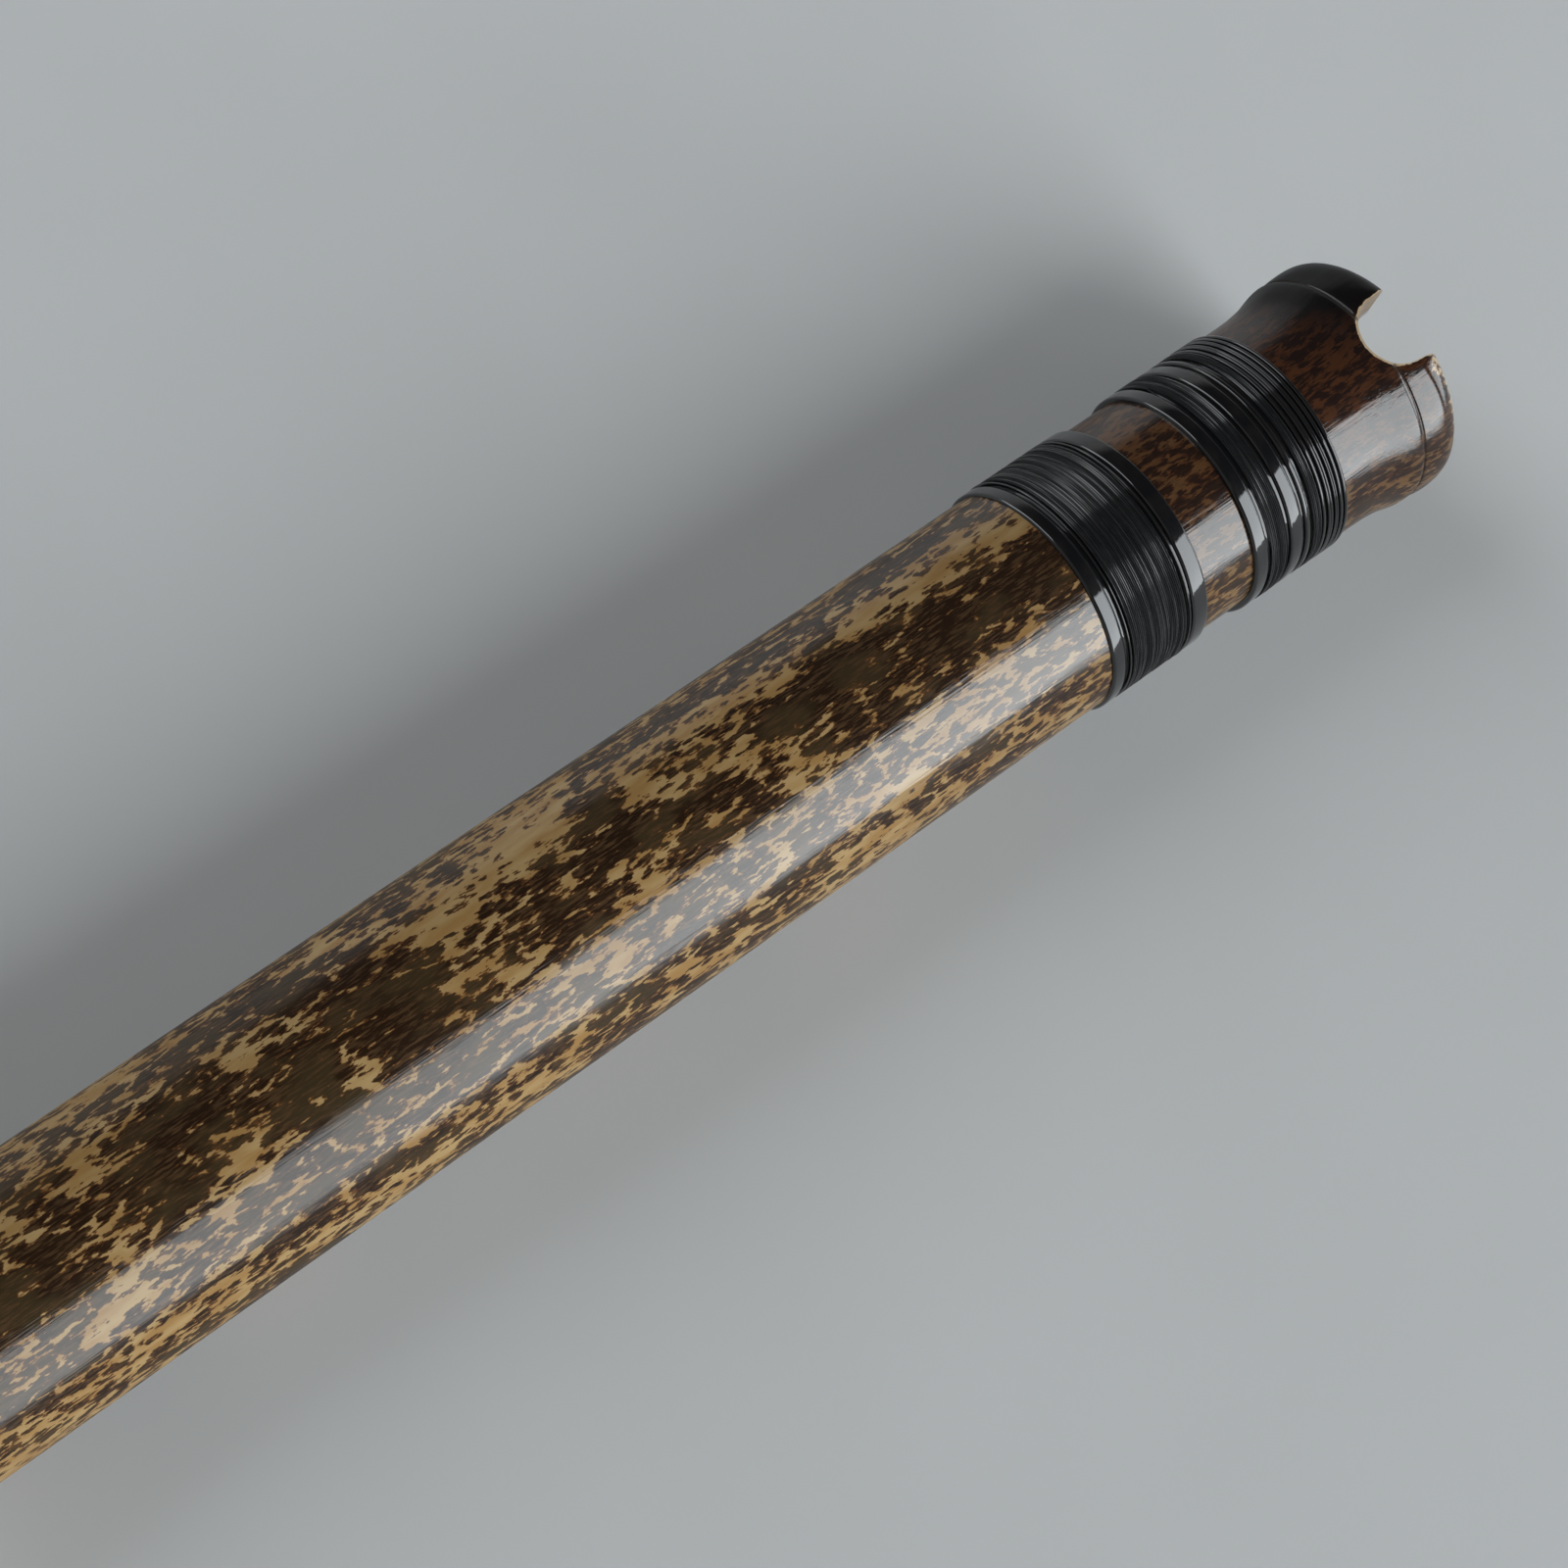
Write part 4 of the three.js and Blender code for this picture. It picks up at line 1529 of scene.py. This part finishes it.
@dataclass
class BodyCulm(Culm):
    """Lower bamboo section: finger holes, nodes and the root end."""

    section: str = "body"
    body: Body = Body.LOWER
    sides: int = 288
    blotch_radius: float = 18.0
    wave_lengths: Range = (37.0, 29.0)
    wave_phase: float = 0.0
    growth: float = 5.7
    # Share of the body's length, and share of the root's growth
    growth_shares: tuple[Range, ...] = (
        (0, 0), (0.17, 0.03), (0.4, 0.105), (0.54, 0.175), (0.65, 0.35),
        (0.75, 0.545), (0.835, 0.77), (0.917, 1), (0.98, 0.94), (1, 0.66),
    )
    growth_step: float = 0.5
    growth_margin: float = 20.0
    smooth_steps: int = 8  # on both sides of each
    smooth_passes: int = 3
    sharp_foot: float = 9.0
    node_shares: tuple[float, ...] = (0.039, 0.398, 0.604, 0.718, 0.809, 0.876, 0.922, 0.959)
    ridge_height: float = 0.95
    ridge_width: float = 1.5
    groove_offset: float = 2.3
    groove_depth: float = 0.4
    groove_width: float = 0.4
    lump_height: float = 0.10
    # Share of the body's length where the lumps, cut roots and stain start, and reach of the rise
    lumps_start: Range = (0.68, 40.0)
    roots_start: float = 0.7
    stain_start: Range = (0.72, 60.0)
    waver: Range = (0.35, 0.18)
    bed_margin: float = 1.0
    roots: CutRoots = CutRoots()
    thumb_offset: float = 7.8  # from the tenon's end
    first_hole_share: float = 0.04  # of the flute's length, from the thumb hole
    hole_spacing_share: float = 0.1  # of the flute's length
    front_holes: int = 4
    cutter_margin: float = 1.0
    # Reach on both sides of a hole, a node and the foot, and step of the rows there
    hole_rows: Range = (7.2, 0.45)
    node_rows: Range = (5.0, 0.4)
    foot_rows: Range = (8.0, 0.25)
    root_rows: Range = (0.78, 0.42)  # share of the body's length where they start, and step
    row_step: float = 2.0
    least_step: float = 0.2
    edge_margin: float = 0.1
    bore_step: float = 6.0
    lining_step: float = 4.0
    # Share of the lining's length, and radius of the bore
    bore_shares: tuple[Range, ...] = ((0, 10.0), (0.65, 8.5), (1, 9.5))
    blotch_seed: int = 8
    blotches: int = 330
    gloss: float = 0.65
    foot_stain: float = 0.25
    foot_wear: Range = (0.8, 3.0)  # strength and width
    # Pale face of a cut root: where it ends in the root's radii, with the fall, and its depth
    face_end: Range = (0.9, 0.2)
    face_depth: float = 1.6
    # Dark lines, with their half widths: round a cut root, in its middle and along a node's groove
    ring_line: Range = (1.02, 0.26)
    middle_line: Range = (0.8, 0.24)
    groove_line: float = 0.5
    line_strength: float = 0.85

    def __post_init__(self) -> None:
        """Works out what follows from the frame."""
        culm = Span.of("body_culm")
        self.start = culm.start
        self.length = culm.end - culm.start
        self.beds = [Span.of(f"{part}_body_binding_bed") for part in ("upper", "lower")]
        self.nodes = [self.at_share(share) for share in self.node_shares]
        thumb = Span.of("tenon").end + self.thumb_offset
        shares = [
            self.first_hole_share + hole * self.hole_spacing_share
            for hole in range(self.front_holes)
        ]
        self.holes = [FingerHole(thumb + share * AXIS.length) for share in shares]
        self.holes.append(FingerHole(thumb, at_back=True))
        lowest = max(hole.place for hole in self.holes)
        self.reach = float(self.bare_radius(np.array(lowest))) + self.cutter_margin
        roots_start = self.at_share(self.roots_start)
        self.nubs = self.roots.nubs(node for node in self.nodes if node > roots_start)

    def at_share(self, share: float) -> float:
        """Place at a share of the body's length."""
        return self.start + share * self.length

    def bare_radius(self, place: np.ndarray) -> np.ndarray:
        """Radius of the culm between its nodes.

        Args:
            place: places from the mouth end.

        Returns:
            The radius at each.
        """
        shares = np.array(self.growth_shares)
        low, high = self.start - self.growth_margin, AXIS.length + self.growth_margin
        fine = np.arange(low, high, self.growth_step)
        growth = np.interp(fine, self.at_share(shares[:, 0]), shares[:, 1])
        window = 2 * self.smooth_steps + 1
        for _ in range(self.smooth_passes):
            padded = np.pad(growth, self.smooth_steps, mode="edge")
            wide = np.convolve(padded, np.ones(window) / window, mode="valid")
            growth = np.where(fine > AXIS.length - self.sharp_foot, growth, wide)
        return self.joint_radius + self.growth * np.interp(place, fine, growth)

    def node_offsets(self, place: np.ndarray, angle: np.ndarray) -> Iterable[np.ndarray]:
        """Distances of points from the wavering middle of each node in turn.

        Args:
            place: places of the points.
            angle: angles of the points.

        Yields:
            The distances from one node, below nothing on its mouth side.
        """
        first, second = self.waver
        for index, node in enumerate(self.nodes):
            waver = first * np.sin(angle + index) + second * np.sin(3 * angle + 2 * index)
            yield place - node - waver

    def node_relief(self, place: np.ndarray, angle: np.ndarray) -> np.ndarray:
        """Ridges and grooves of the nodes.

        Args:
            place: places of the points.
            angle: angles of the points.

        Returns:
            Height to add.
        """
        height = np.zeros_like(place)
        for off in self.node_offsets(place, angle):
            height += self.ridge_height * bump(off, self.ridge_width)
            height -= self.groove_depth * bump(off + self.groove_offset, self.groove_width)
        return height

    def relief(self, place: np.ndarray, angle: np.ndarray) -> np.ndarray:
        """Everything that stands out of the plain culm or is sunk in it.

        Args:
            place: places of the points.
            angle: angles of the points.

        Returns:
            Height to add.
        """
        share, reach = self.lumps_start
        root = rising(place, self.at_share(share), reach)
        lumps = np.sin(3 * angle + place / 9) + np.sin(5 * angle - place / 7 + 1)
        height = self.waves(place, angle) + self.lump_height * root * (lumps - 2)
        nubs, _ = self.roots.shape(self.nubs, place, angle)
        grown = self.node_relief(place, angle) + nubs
        for bed in self.beds:
            low, high = bed.start - self.bed_margin, bed.end + self.bed_margin
            grown *= (place <= low) | (place >= high)
        height += grown
        for hole in self.holes:
            rim = hole.distance(place, angle, self.bare_radius(place))
            height -= hole.round_depth * fading(rim, hole.round_width)
        return height

    def row_places(self) -> np.ndarray:
        """Places of rows from the ring to the foot, closer where the shape changes quickly."""
        start, end = self.ring.end, AXIS.length
        share, step = self.root_rows
        stretches = [(start, end, self.row_step), (self.at_share(share), end, step)]
        middles = [(hole.place, *self.hole_rows) for hole in self.holes]
        middles += [(node, *self.node_rows) for node in self.nodes]
        middles.append((end, *self.foot_rows))
        stretches += [(middle - reach, middle + reach, step) for middle, reach, step in middles]
        places = [spaced(max(low, start), min(high, end), step) for low, high, step in stretches]
        merged = np.unique(np.round(np.concatenate(places), 2))
        return merged[np.concatenate([[True], np.diff(merged) > self.least_step])]

    def outside(self) -> np.ndarray:
        """Rows of place and radius along the outside, from the joint to the foot."""
        places = self.row_places()
        starts = [self.ring.end, *(bed.end for bed in self.beds)]
        ends = [*(bed.start for bed in self.beds), AXIS.length]
        parts = [self.ring_seat()]
        for start, end, bed in zip(starts, ends, (*self.beds, None)):
            inner = (places > start + self.edge_margin) & (places < end - self.edge_margin)
            part = np.concatenate([[start], places[inner], [end]])
            parts.append(outline(part, self.bare_radius(part)))
            if bed:
                before, after = self.bare_radius(np.array([bed.start, bed.end]))
                parts.append(self.recess(bed, before, after)[1:3])
        return np.concatenate(parts)

    def dress_points(self, mesh: Mesh) -> None:
        """Stores what the finish needs at each point.

        Args:
            mesh: mesh of the culm.
        """
        place, _, angle = AXIS.place_and_angle(mesh_points(mesh))
        stretch = (self.start, AXIS.length)
        scatter = Scatter(self.blotch_seed, self.blotches, stretch, (0, 360))
        _, away = self.roots.shape(self.nubs, place, angle)
        face = falling(away, *self.face_end)
        layout = self.layout(scatter.blotches(), place, angle)
        store(mesh, "layout", layout * (1 - face) - self.face_depth * face)
        share, reach = self.stain_start
        store(mesh, "stain", self.foot_stain * rising(place, self.at_share(share), reach))
        store(mesh, "scorch", np.zeros(len(place)))
        store(mesh, "gloss", self.gloss * polish_round(angle))
        strength, width = self.foot_wear
        store(mesh, "wear", strength * fading(AXIS.length - place, width))
        strength, width = self.middle_line
        line = np.maximum(near(away, *self.ring_line), strength * bump(away, width))
        for off in self.node_offsets(place, angle):
            line = np.maximum(line, bump(off + self.groove_offset, self.groove_line))
        store(mesh, "line", self.line_strength * line)

    def cutters(self) -> list[Object]:
        """Makes the solids that cut the finger holes."""
        return [hole.cutter(self.reach) for hole in self.holes]

    def solid(self) -> Object:
        """Makes the culm, still uncut, with its hole for the socket's sleeve."""
        sleeve = Span.of("socket_sleeve")
        socket_end = sleeve.end + FIT_GAP
        back = spaced(socket_end, AXIS.length, self.bore_step)[::-1]
        inside = np.concatenate([
            outline(back, self.bore),
            outline([socket_end, self.start], sleeve.radius + FIT_GAP),
        ])
        return ring_solid("body_bamboo", self.outside(), inside, self.sides, self.relief)

    def lining(self) -> Object:
        """Makes the lining, still uncut, which narrows and opens again to the foot."""
        span = Span.of("body_bore_lining")
        places = spaced(span.start, span.end, self.lining_step)
        share = (places - span.start) / (span.end - span.start)
        skin = outline(places, span.radius + LINING_OVERLAP)
        inside = outline(places, np.interp(share, *zip(*self.bore_shares)))[::-1]
        return ring_solid("body_bore_lacquer", skin, inside, self.sides // 2)


@dataclass
class Binding:
    """Thread binding on a lacquered bed, made of strips from the mouth side to the foot side."""

    name: str
    body: Body
    strips: tuple[tuple[Strip, float], ...]
    finishes: Finishes
    sides: int = 192
    shoulder_height: float = 0.55
    ridge_height: float = 0.62
    ridge_pitch: float = 0.46
    ridge_swell: float = 0.20
    groove_height: float = 0.10
    bed_height: float = 0.36
    bed_depth: float = 1.3
    thread_radius: float = 0.155
    thread_pitch: float = 0.31
    thread_sides: int = 8
    thread_steps: int = 72
    thread_height: float = 0.42
    thread_uneven: float = 0.035
    uneven_places: float = 1.5  # for each turn
    under_lacquer: float = 0.3
    under_ridge: float = 0.4
    under_groove: float = 0.25
    end_cover: float = 2.0
    strip_gap: float = 0.02
    groove_dip: float = 0.03
    ridge_foot: float = 0.1
    ridge_arc: Range = (0.92, 0.08)  # in half turns
    ridge_steps: int = 9
    soft: float = 0.45
    soft_foot: float = 0.05
    soft_steps: int = 7
    bed_lip: float = 0.02
    seed: int = 5

    def __post_init__(self) -> None:
        """Works out where the binding sits."""
        self.span = Span.of(f"{self.name}_bed")
        self.seat = self.span.radius - self.shoulder_height
        total = sum(width for _, width in self.strips)
        self.scale = (self.span.end - self.span.start) / total

    def stretches(self) -> list[tuple[Strip, float, float]]:
        """Each strip's kind, start and end."""
        found = []
        place = self.span.start
        for kind, width in self.strips:
            found.append((kind, place, place + width * self.scale))
            place += width * self.scale
        return found

    def strip_rows(self, kind: Strip, start: float, end: float) -> list[Range]:
        """Outline of one strip of the bed.

        Args:
            kind: kind of the strip.
            start: its start.
            end: its end.

        Returns:
            Rows of place and height over the seat.
        """
        low, high = start + self.strip_gap, end - self.strip_gap
        if kind is Strip.GROOVE:
            floor = self.groove_height
            return [(low, floor), ((start + end) / 2, floor - self.groove_dip), (high, floor)]
        if kind is Strip.THREAD:
            return [(low, self.bed_height), (high, self.bed_height)]
        if kind is Strip.RIDGE:
            turns = self.ridge_rows(low, end - start)
            return [(low, self.ridge_foot), *turns, (high, self.ridge_foot)]
        soft = min(self.soft, (end - start) / 3)
        rise = self.shoulder_height - self.soft_foot
        curve = [
            (soft * (1 - math.cos(turn)), self.soft_foot + rise * math.sin(turn))
            for turn in np.linspace(0, math.pi / 2, self.soft_steps)
        ]
        first = [(low + along, height) for along, height in curve]
        return first + [(high - along, height) for along, height in curve[::-1]]

    def ridge_rows(self, start: float, width: float) -> list[Range]:
        """Outline of raised turns side by side.

        Args:
            start: where the first turn starts.
            width: width of the strip.

        Returns:
            Rows of place and height over the seat.
        """
        turns = max(1, round(width / self.ridge_pitch))
        half = (width / 2 - self.strip_gap) / turns
        swell = min(half, self.ridge_swell)
        found = []
        for turn in range(turns):
            middle = start + (2 * turn + 1) * half
            for angle in np.linspace(*self.ridge_arc, self.ridge_steps) * math.pi:
                height = self.ridge_height - swell * (1 - math.sin(angle))
                found.append((middle + half * math.cos(angle), height))
        return found

    def bed_relief(self, place: np.ndarray, angle: np.ndarray) -> np.ndarray:
        """Slight unevenness of lacquer brushed on by hand."""
        return 0.02 * np.sin(3 * angle + place) + 0.012 * np.sin(7 * angle - 2 * place)

    def thread_heights(self, place: np.ndarray) -> np.ndarray:
        """Height of the thread's middle over the seat, lower where lacquer covers it.

        Args:
            place: places along the thread.

        Returns:
            The heights.
        """
        under = {
            Strip.LACQUER: self.shoulder_height - self.under_lacquer,
            Strip.RIDGE: self.ridge_height - self.under_ridge,
            Strip.GROOVE: self.groove_height - self.under_groove,
            Strip.THREAD: self.thread_height,
        }
        heights = np.zeros_like(place)
        for kind, start, end in self.stretches():
            heights[(place >= start) & (place <= end)] = under[kind]
        return heights

    def winding(self) -> Object:
        """One unbroken thread, wound from one end of the binding to the other."""
        start = self.span.start + self.end_cover
        end = self.span.end - self.end_cover
        turns = (end - start) / self.thread_pitch
        angle = np.linspace(0, turns * FULL_TURN, int(turns * self.thread_steps))
        place = start + (end - start) * angle / angle[-1]
        draws = int(turns * self.uneven_places) + 2
        knots = np.random.default_rng(self.seed).uniform(-1, 1, draws)
        uneven = np.interp(angle / angle[-1] * (draws - 1), np.arange(draws), knots)
        radius = self.seat + self.thread_heights(place) + self.thread_uneven * uneven
        spin = circle(self.thread_sides)[None, :]
        ring_place = place[:, None] + self.thread_radius * np.cos(spin)
        ring_radius = radius[:, None] + self.thread_radius * np.sin(spin)
        ring_angle = angle[:, None].repeat(self.thread_sides, 1)
        points = AXIS.points(ring_place, ring_radius, ring_angle)
        faces = grid_faces(len(place), self.thread_sides, False)
        last = (len(place) - 1) * self.thread_sides
        faces.append(tuple(range(self.thread_sides)))
        faces.append(tuple(range(last, last + self.thread_sides))[::-1])
        return make_object(f"{self.name}_thread", points, faces)

    def build(self) -> None:
        """Makes the bed and its winding."""
        rows = [row for stretch in self.stretches() for row in self.strip_rows(*stretch)]
        ends, floor = [self.span.start, self.span.end], self.seat - self.bed_depth
        outside = np.concatenate([
            [[ends[0], floor]], np.array(rows) + [0, self.seat], [[ends[1], floor]],
        ])
        inside = outline(ends[::-1], floor - self.bed_lip)
        bed = ring_solid(f"{self.name}_lacquer", outside, inside, self.sides, self.bed_relief)
        dress(bed, self.body, f"{self.name}_bed", [self.finishes.lacquer])
        thread = self.winding()
        dress(thread, self.body, f"{self.name}_winding", [self.finishes.thread])


MOUTH_STRIPS = (
    (Strip.RIDGE, 0.60), (Strip.GROOVE, 0.25), (Strip.RIDGE, 0.60), (Strip.GROOVE, 0.30),
    (Strip.RIDGE, 0.70), (Strip.GROOVE, 0.30), (Strip.RIDGE, 0.90), (Strip.GROOVE, 0.30),
    (Strip.LACQUER, 0.65), (Strip.GROOVE, 0.20), (Strip.THREAD, 1.50), (Strip.GROOVE, 0.60),
    (Strip.LACQUER, 0.95), (Strip.GROOVE, 0.45), (Strip.LACQUER, 2.30), (Strip.GROOVE, 0.60),
    (Strip.THREAD, 3.05), (Strip.GROOVE, 0.45), (Strip.LACQUER, 2.40),
)
NECK_STRIPS = (
    (Strip.LACQUER, 2.80), (Strip.GROOVE, 0.40), (Strip.RIDGE, 0.35), (Strip.GROOVE, 0.35),
    (Strip.THREAD, 9.70), (Strip.GROOVE, 0.40), (Strip.RIDGE, 0.35), (Strip.GROOVE, 0.60),
    (Strip.LACQUER, 2.30),
)


@dataclass
class TenonJoint:
    """Joint between the two sections: tenon, packing, sleeve and the two rings."""

    finishes: Finishes
    sides: int = 128
    bore: float = 10.0
    waist_depth: float = 0.75
    soft: float = 0.35
    soft_steps: int = 6
    sleeve_soft: float = 0.1
    ring_wall: float = 1.65
    line_offset: float = 0.95
    line_half_width: float = 0.16
    line_depth: float = 0.16
    packing_pitch: float = 0.5
    packing_arc: Range = (0.9, 0.1)  # in half turns
    packing_steps: int = 6
    packing_lift: float = 0.05

    def rounded_tube(
        self, name: str, span: Span, inside_radius: float, soft: float, line_depth: float = 0.0
    ) -> Object:
        """Tube with rounded outer edges, and with a turned line near each end if it has a depth.

        Args:
            name: name of the object.
            span: its room.
            inside_radius: radius of its hole.
            soft: radius of its outer edges.
            line_depth: depth of the turned lines.

        Returns:
            The new object.
        """
        turn = np.linspace(0, math.pi / 2, self.soft_steps)
        along, below = soft * (1 - np.cos(turn)), soft * (1 - np.sin(turn))
        first = outline(span.start + along, span.radius - below)
        last = outline(span.end - along, span.radius - below)[::-1]
        lines = [
            [middle + off, span.radius - line_depth * (off == 0)]
            for middle in (span.start + self.line_offset, span.end - self.line_offset)
            for off in (-self.line_half_width, 0.0, self.line_half_width)
        ] if line_depth else np.empty((0, 2))
        inside = outline([span.end, span.start], inside_radius)
        return ring_solid(name, np.concatenate([first, lines, last]), inside, self.sides)

    def build_tenon(self) -> None:
        """Makes the tenon, with a waist for the packing."""
        span = Span.of("tenon")
        packing = Span.of("tenon_packing")
        edge, top, waist = span.radius - self.soft, span.radius, span.radius - self.waist_depth
        low, high = packing.start - FIT_GAP, packing.end + FIT_GAP
        outside = np.array([
            [span.start, edge], [span.start + self.soft, top], [low, top], [low, waist],
            [high, waist], [high, top], [span.end - self.soft, top], [span.end, edge],
        ])
        inside = outline([span.end, span.start], self.bore)
        piece = ring_solid("tenon_wood", outside, inside, self.sides)
        dress(piece, Body.HEAD, "tenon", [self.finishes.tenon])

    def build_packing(self) -> None:
        """Makes the wound packing in the tenon's waist."""
        span = Span.of("tenon_packing")
        floor = Span.of("tenon").radius - self.waist_depth + self.packing_lift
        thread = self.packing_pitch / 2
        crest = span.radius - thread
        room = span.end - span.start - 2 * thread
        turns = int(room / self.packing_pitch)
        outside = []
        for turn in range(turns):
            middle = span.start + thread + (turn + 0.5) * room / turns
            for angle in np.linspace(*self.packing_arc, self.packing_steps) * math.pi:
                along, up = thread * math.cos(angle), thread * math.sin(angle)
                outside.append([middle + along, crest + up])
        inside = outline([span.end, span.start], floor)
        piece = ring_solid("joint_packing", outside, inside, self.sides)
        dress(piece, Body.PACKING, "tenon_packing", [self.finishes.packing])

    def build_rings(self) -> None:
        """Makes the two rings and the socket's sleeve."""
        for node, body in (("head_joint_ring", Body.HEAD), ("body_joint_ring", Body.LOWER)):
            span = Span.of(node)
            hole = span.radius - self.ring_wall
            piece = self.rounded_tube(f"{node}_metal", span, hole, self.soft, self.line_depth)
            dress(piece, body, node, [self.finishes.metal])
        span = Span.of("socket_sleeve")
        hole = Span.of("tenon_packing").radius + FIT_GAP
        piece = self.rounded_tube("socket_lacquer", span, hole, self.sleeve_soft)
        dress(piece, Body.LOWER, "socket_sleeve", [self.finishes.bore])

    def build(self) -> None:
        """Makes every piece of the joint."""
        self.build_tenon()
        self.build_packing()
        self.build_rings()


@dataclass(frozen=True)
class Window:
    """Bright rectangle of the room, far away: the stretch of directions that it fills."""

    along: Range  # degrees towards the mouth end, from square to the flute
    around: Range  # degrees from overhead towards the -Y side
    strength: float
    soft: float = 1.5  # degrees over which its edges fade

    def light(self, room: Nodes, along: Socket, around: Socket) -> Socket:
        """Its light from each direction.

        Args:
            room: nodes of the room.
            along: the direction's angle towards the mouth end.
            around: its angle from overhead towards the -Y side.

        Returns:
            The window's strength inside it, and nothing outside.
        """
        share: Socket | float = self.strength
        soft = math.radians(self.soft)
        for angle, stretch in ((along, self.along), (around, self.around)):
            low, high = (math.radians(each) for each in stretch)
            rise = room.ramp(angle, low - soft, low + soft)
            fall = room.ramp(angle, high - soft, high + soft, 1.0, 0.0)
            share = room.calculate("MULTIPLY", share, room.calculate("MULTIPLY", rise, fall))
        return share


@dataclass
class Studio:
    """Floor, room, lamp and the camera at the photograph's angle."""

    floor_radius: float = 4000.0
    floor_sides: int = 96
    sky: Colour = (0.035, 0.036, 0.038)
    horizon: Colour = (0.46, 0.46, 0.465)
    horizon_top: Range = (0.09, 0.36)  # heights between which the horizon turns to sky
    window_colour: Colour = (0.93, 0.99, 1.02)
    windows: tuple[Window, ...] = (
        Window((-3.0, 38.0), (37.5, 97.0), 5.5),  # beside the flute, on the -Y side
        Window((-37.0, -8.0), (-97.0, -26.0), 3.4),  # behind it, towards the foot
        Window((46.0, 72.0), (42.0, 90.0), 3.6),  # beyond the mouth, on the -Y side
    )
    fill_direction: tuple[float, float, float] = (-0.55, -0.05, 0.83)
    fill_reach: float = 3200.0
    fill_size: Range = (3000.0, 3000.0)
    fill_strength: float = 0.22
    lens: float = 101.475
    sensor: float = 36.0
    tilt: float = math.radians(21.99)
    roll: float = math.radians(34.629)
    lean: float = math.radians(8.5)
    reach: float = 591.0
    aim_place: float = 111.2
    aim_shift: float = 1.31
    clip: Range = (0.01, 20.0)  # in metres

    def build_floor(self) -> None:
        """Makes the floor that the flute lies on."""
        turn = circle(self.floor_sides)
        points = level_points(np.cos(turn), np.sin(turn), 0.0) * self.floor_radius * MM
        floor = make_object("floor", points, [tuple(range(self.floor_sides))])
        floor.data.materials.append(FloorPaint().material())

    def build_world(self) -> None:
        """Makes the room: pale round the horizon, darker overhead, with its windows."""
        world = bpy.data.worlds.new("room")
        bpy.context.scene.world = world
        room = Nodes(world)
        split = room.add("ShaderNodeSeparateXYZ")
        room.feed(split.inputs[0], room.add("ShaderNodeTexCoord").outputs["Generated"])
        x, y, z = split.outputs
        walls = room.nodes["Background"]
        colour = room.mix(room.ramp(z, *self.horizon_top), self.horizon, self.sky)
        room.feed(walls.inputs["Color"], colour)
        along = room.calculate("ARCSINE", x)
        around = room.calculate("ARCTAN2", room.calculate("MULTIPLY", y, -1.0), z)
        light: Socket | float = 0.0
        for window in self.windows:
            light = room.calculate("ADD", light, window.light(room, along, around))
        seen = room.add("ShaderNodeLightPath").outputs["Is Camera Ray"]
        unseen = room.calculate("SUBTRACT", 1.0, seen)
        windows = room.add("ShaderNodeBackground")
        room.feed(windows.inputs["Color"], self.window_colour)
        room.feed(windows.inputs["Strength"], room.calculate("MULTIPLY", light, unseen))
        both = room.add("ShaderNodeAddShader")
        for socket, source in zip(both.inputs, (walls, windows)):
            room.feed(socket, source.outputs[0])
        room.feed(room.nodes["World Output"].inputs["Surface"], both.outputs[0])

    def build_lamp(self) -> None:
        """Makes the large dim lamp overhead, towards the foot."""
        data = bpy.data.lights.new("fill_lamp", "AREA")
        data.shape = "RECTANGLE"
        data.size, data.size_y = (each * MM for each in self.fill_size)
        data.energy = self.fill_strength * math.pi * data.size * data.size_y
        lamp = new_object("fill_lamp", data)
        direction = Vector(self.fill_direction)
        lamp.location = direction * self.fill_reach * MM
        lamp.rotation_mode = "QUATERNION"
        lamp.rotation_quaternion = (-direction).to_track_quat("-Z", "Y")
        lamp.visible_camera = False

    def build_camera(self) -> None:
        """Makes the camera: nearly overhead, a little towards the foot and the -Y side."""
        along = Vector((1, 0, 0))
        front = Vector((0, -math.sin(self.lean), math.cos(self.lean)))
        back = -math.sin(self.tilt) * along + math.cos(self.tilt) * front
        side = along.cross(front)
        level = (along - along.dot(back) * back).normalized()
        right = math.cos(self.roll) * level + math.sin(self.roll) * side
        up = back.cross(right)
        aim = Vector((AXIS.length / 2 - self.aim_place, 0, AXIS.height)) + self.aim_shift * side
        data = bpy.data.cameras.new("camera")
        data.lens, data.sensor_width = self.lens, self.sensor
        data.clip_start, data.clip_end = self.clip
        camera = new_object("camera", data)
        turn = Matrix((right, up, back)).transposed().to_4x4()
        camera.matrix_world = Matrix.Translation((aim + self.reach * back) * MM) @ turn
        bpy.context.scene.camera = camera

    def build(self) -> None:
        """Makes the whole studio."""
        bpy.context.scene.view_settings.view_transform = "Standard"
        self.build_floor()
        self.build_world()
        self.build_lamp()
        self.build_camera()
        LOG.info("studio: floor, room, lamp and the camera")


def main() -> None:
    """Builds every sub-assembly in order."""
    logging.basicConfig(level=logging.INFO, format="%(name)s: %(message)s")
    Studio().build()
    finishes = Finishes.make()
    HeadCulm(finishes).build()
    Binding("mouth_binding", Body.HEAD, MOUTH_STRIPS, finishes).build()
    Binding("neck_binding", Body.HEAD, NECK_STRIPS, finishes).build()
    TenonJoint(finishes).build()
    BodyCulm(finishes).build()
    Binding("upper_body_binding", Body.LOWER, NECK_STRIPS, finishes).build()
    Binding("lower_body_binding", Body.LOWER, NECK_STRIPS, finishes).build()


if __name__ == "__main__":
    main()
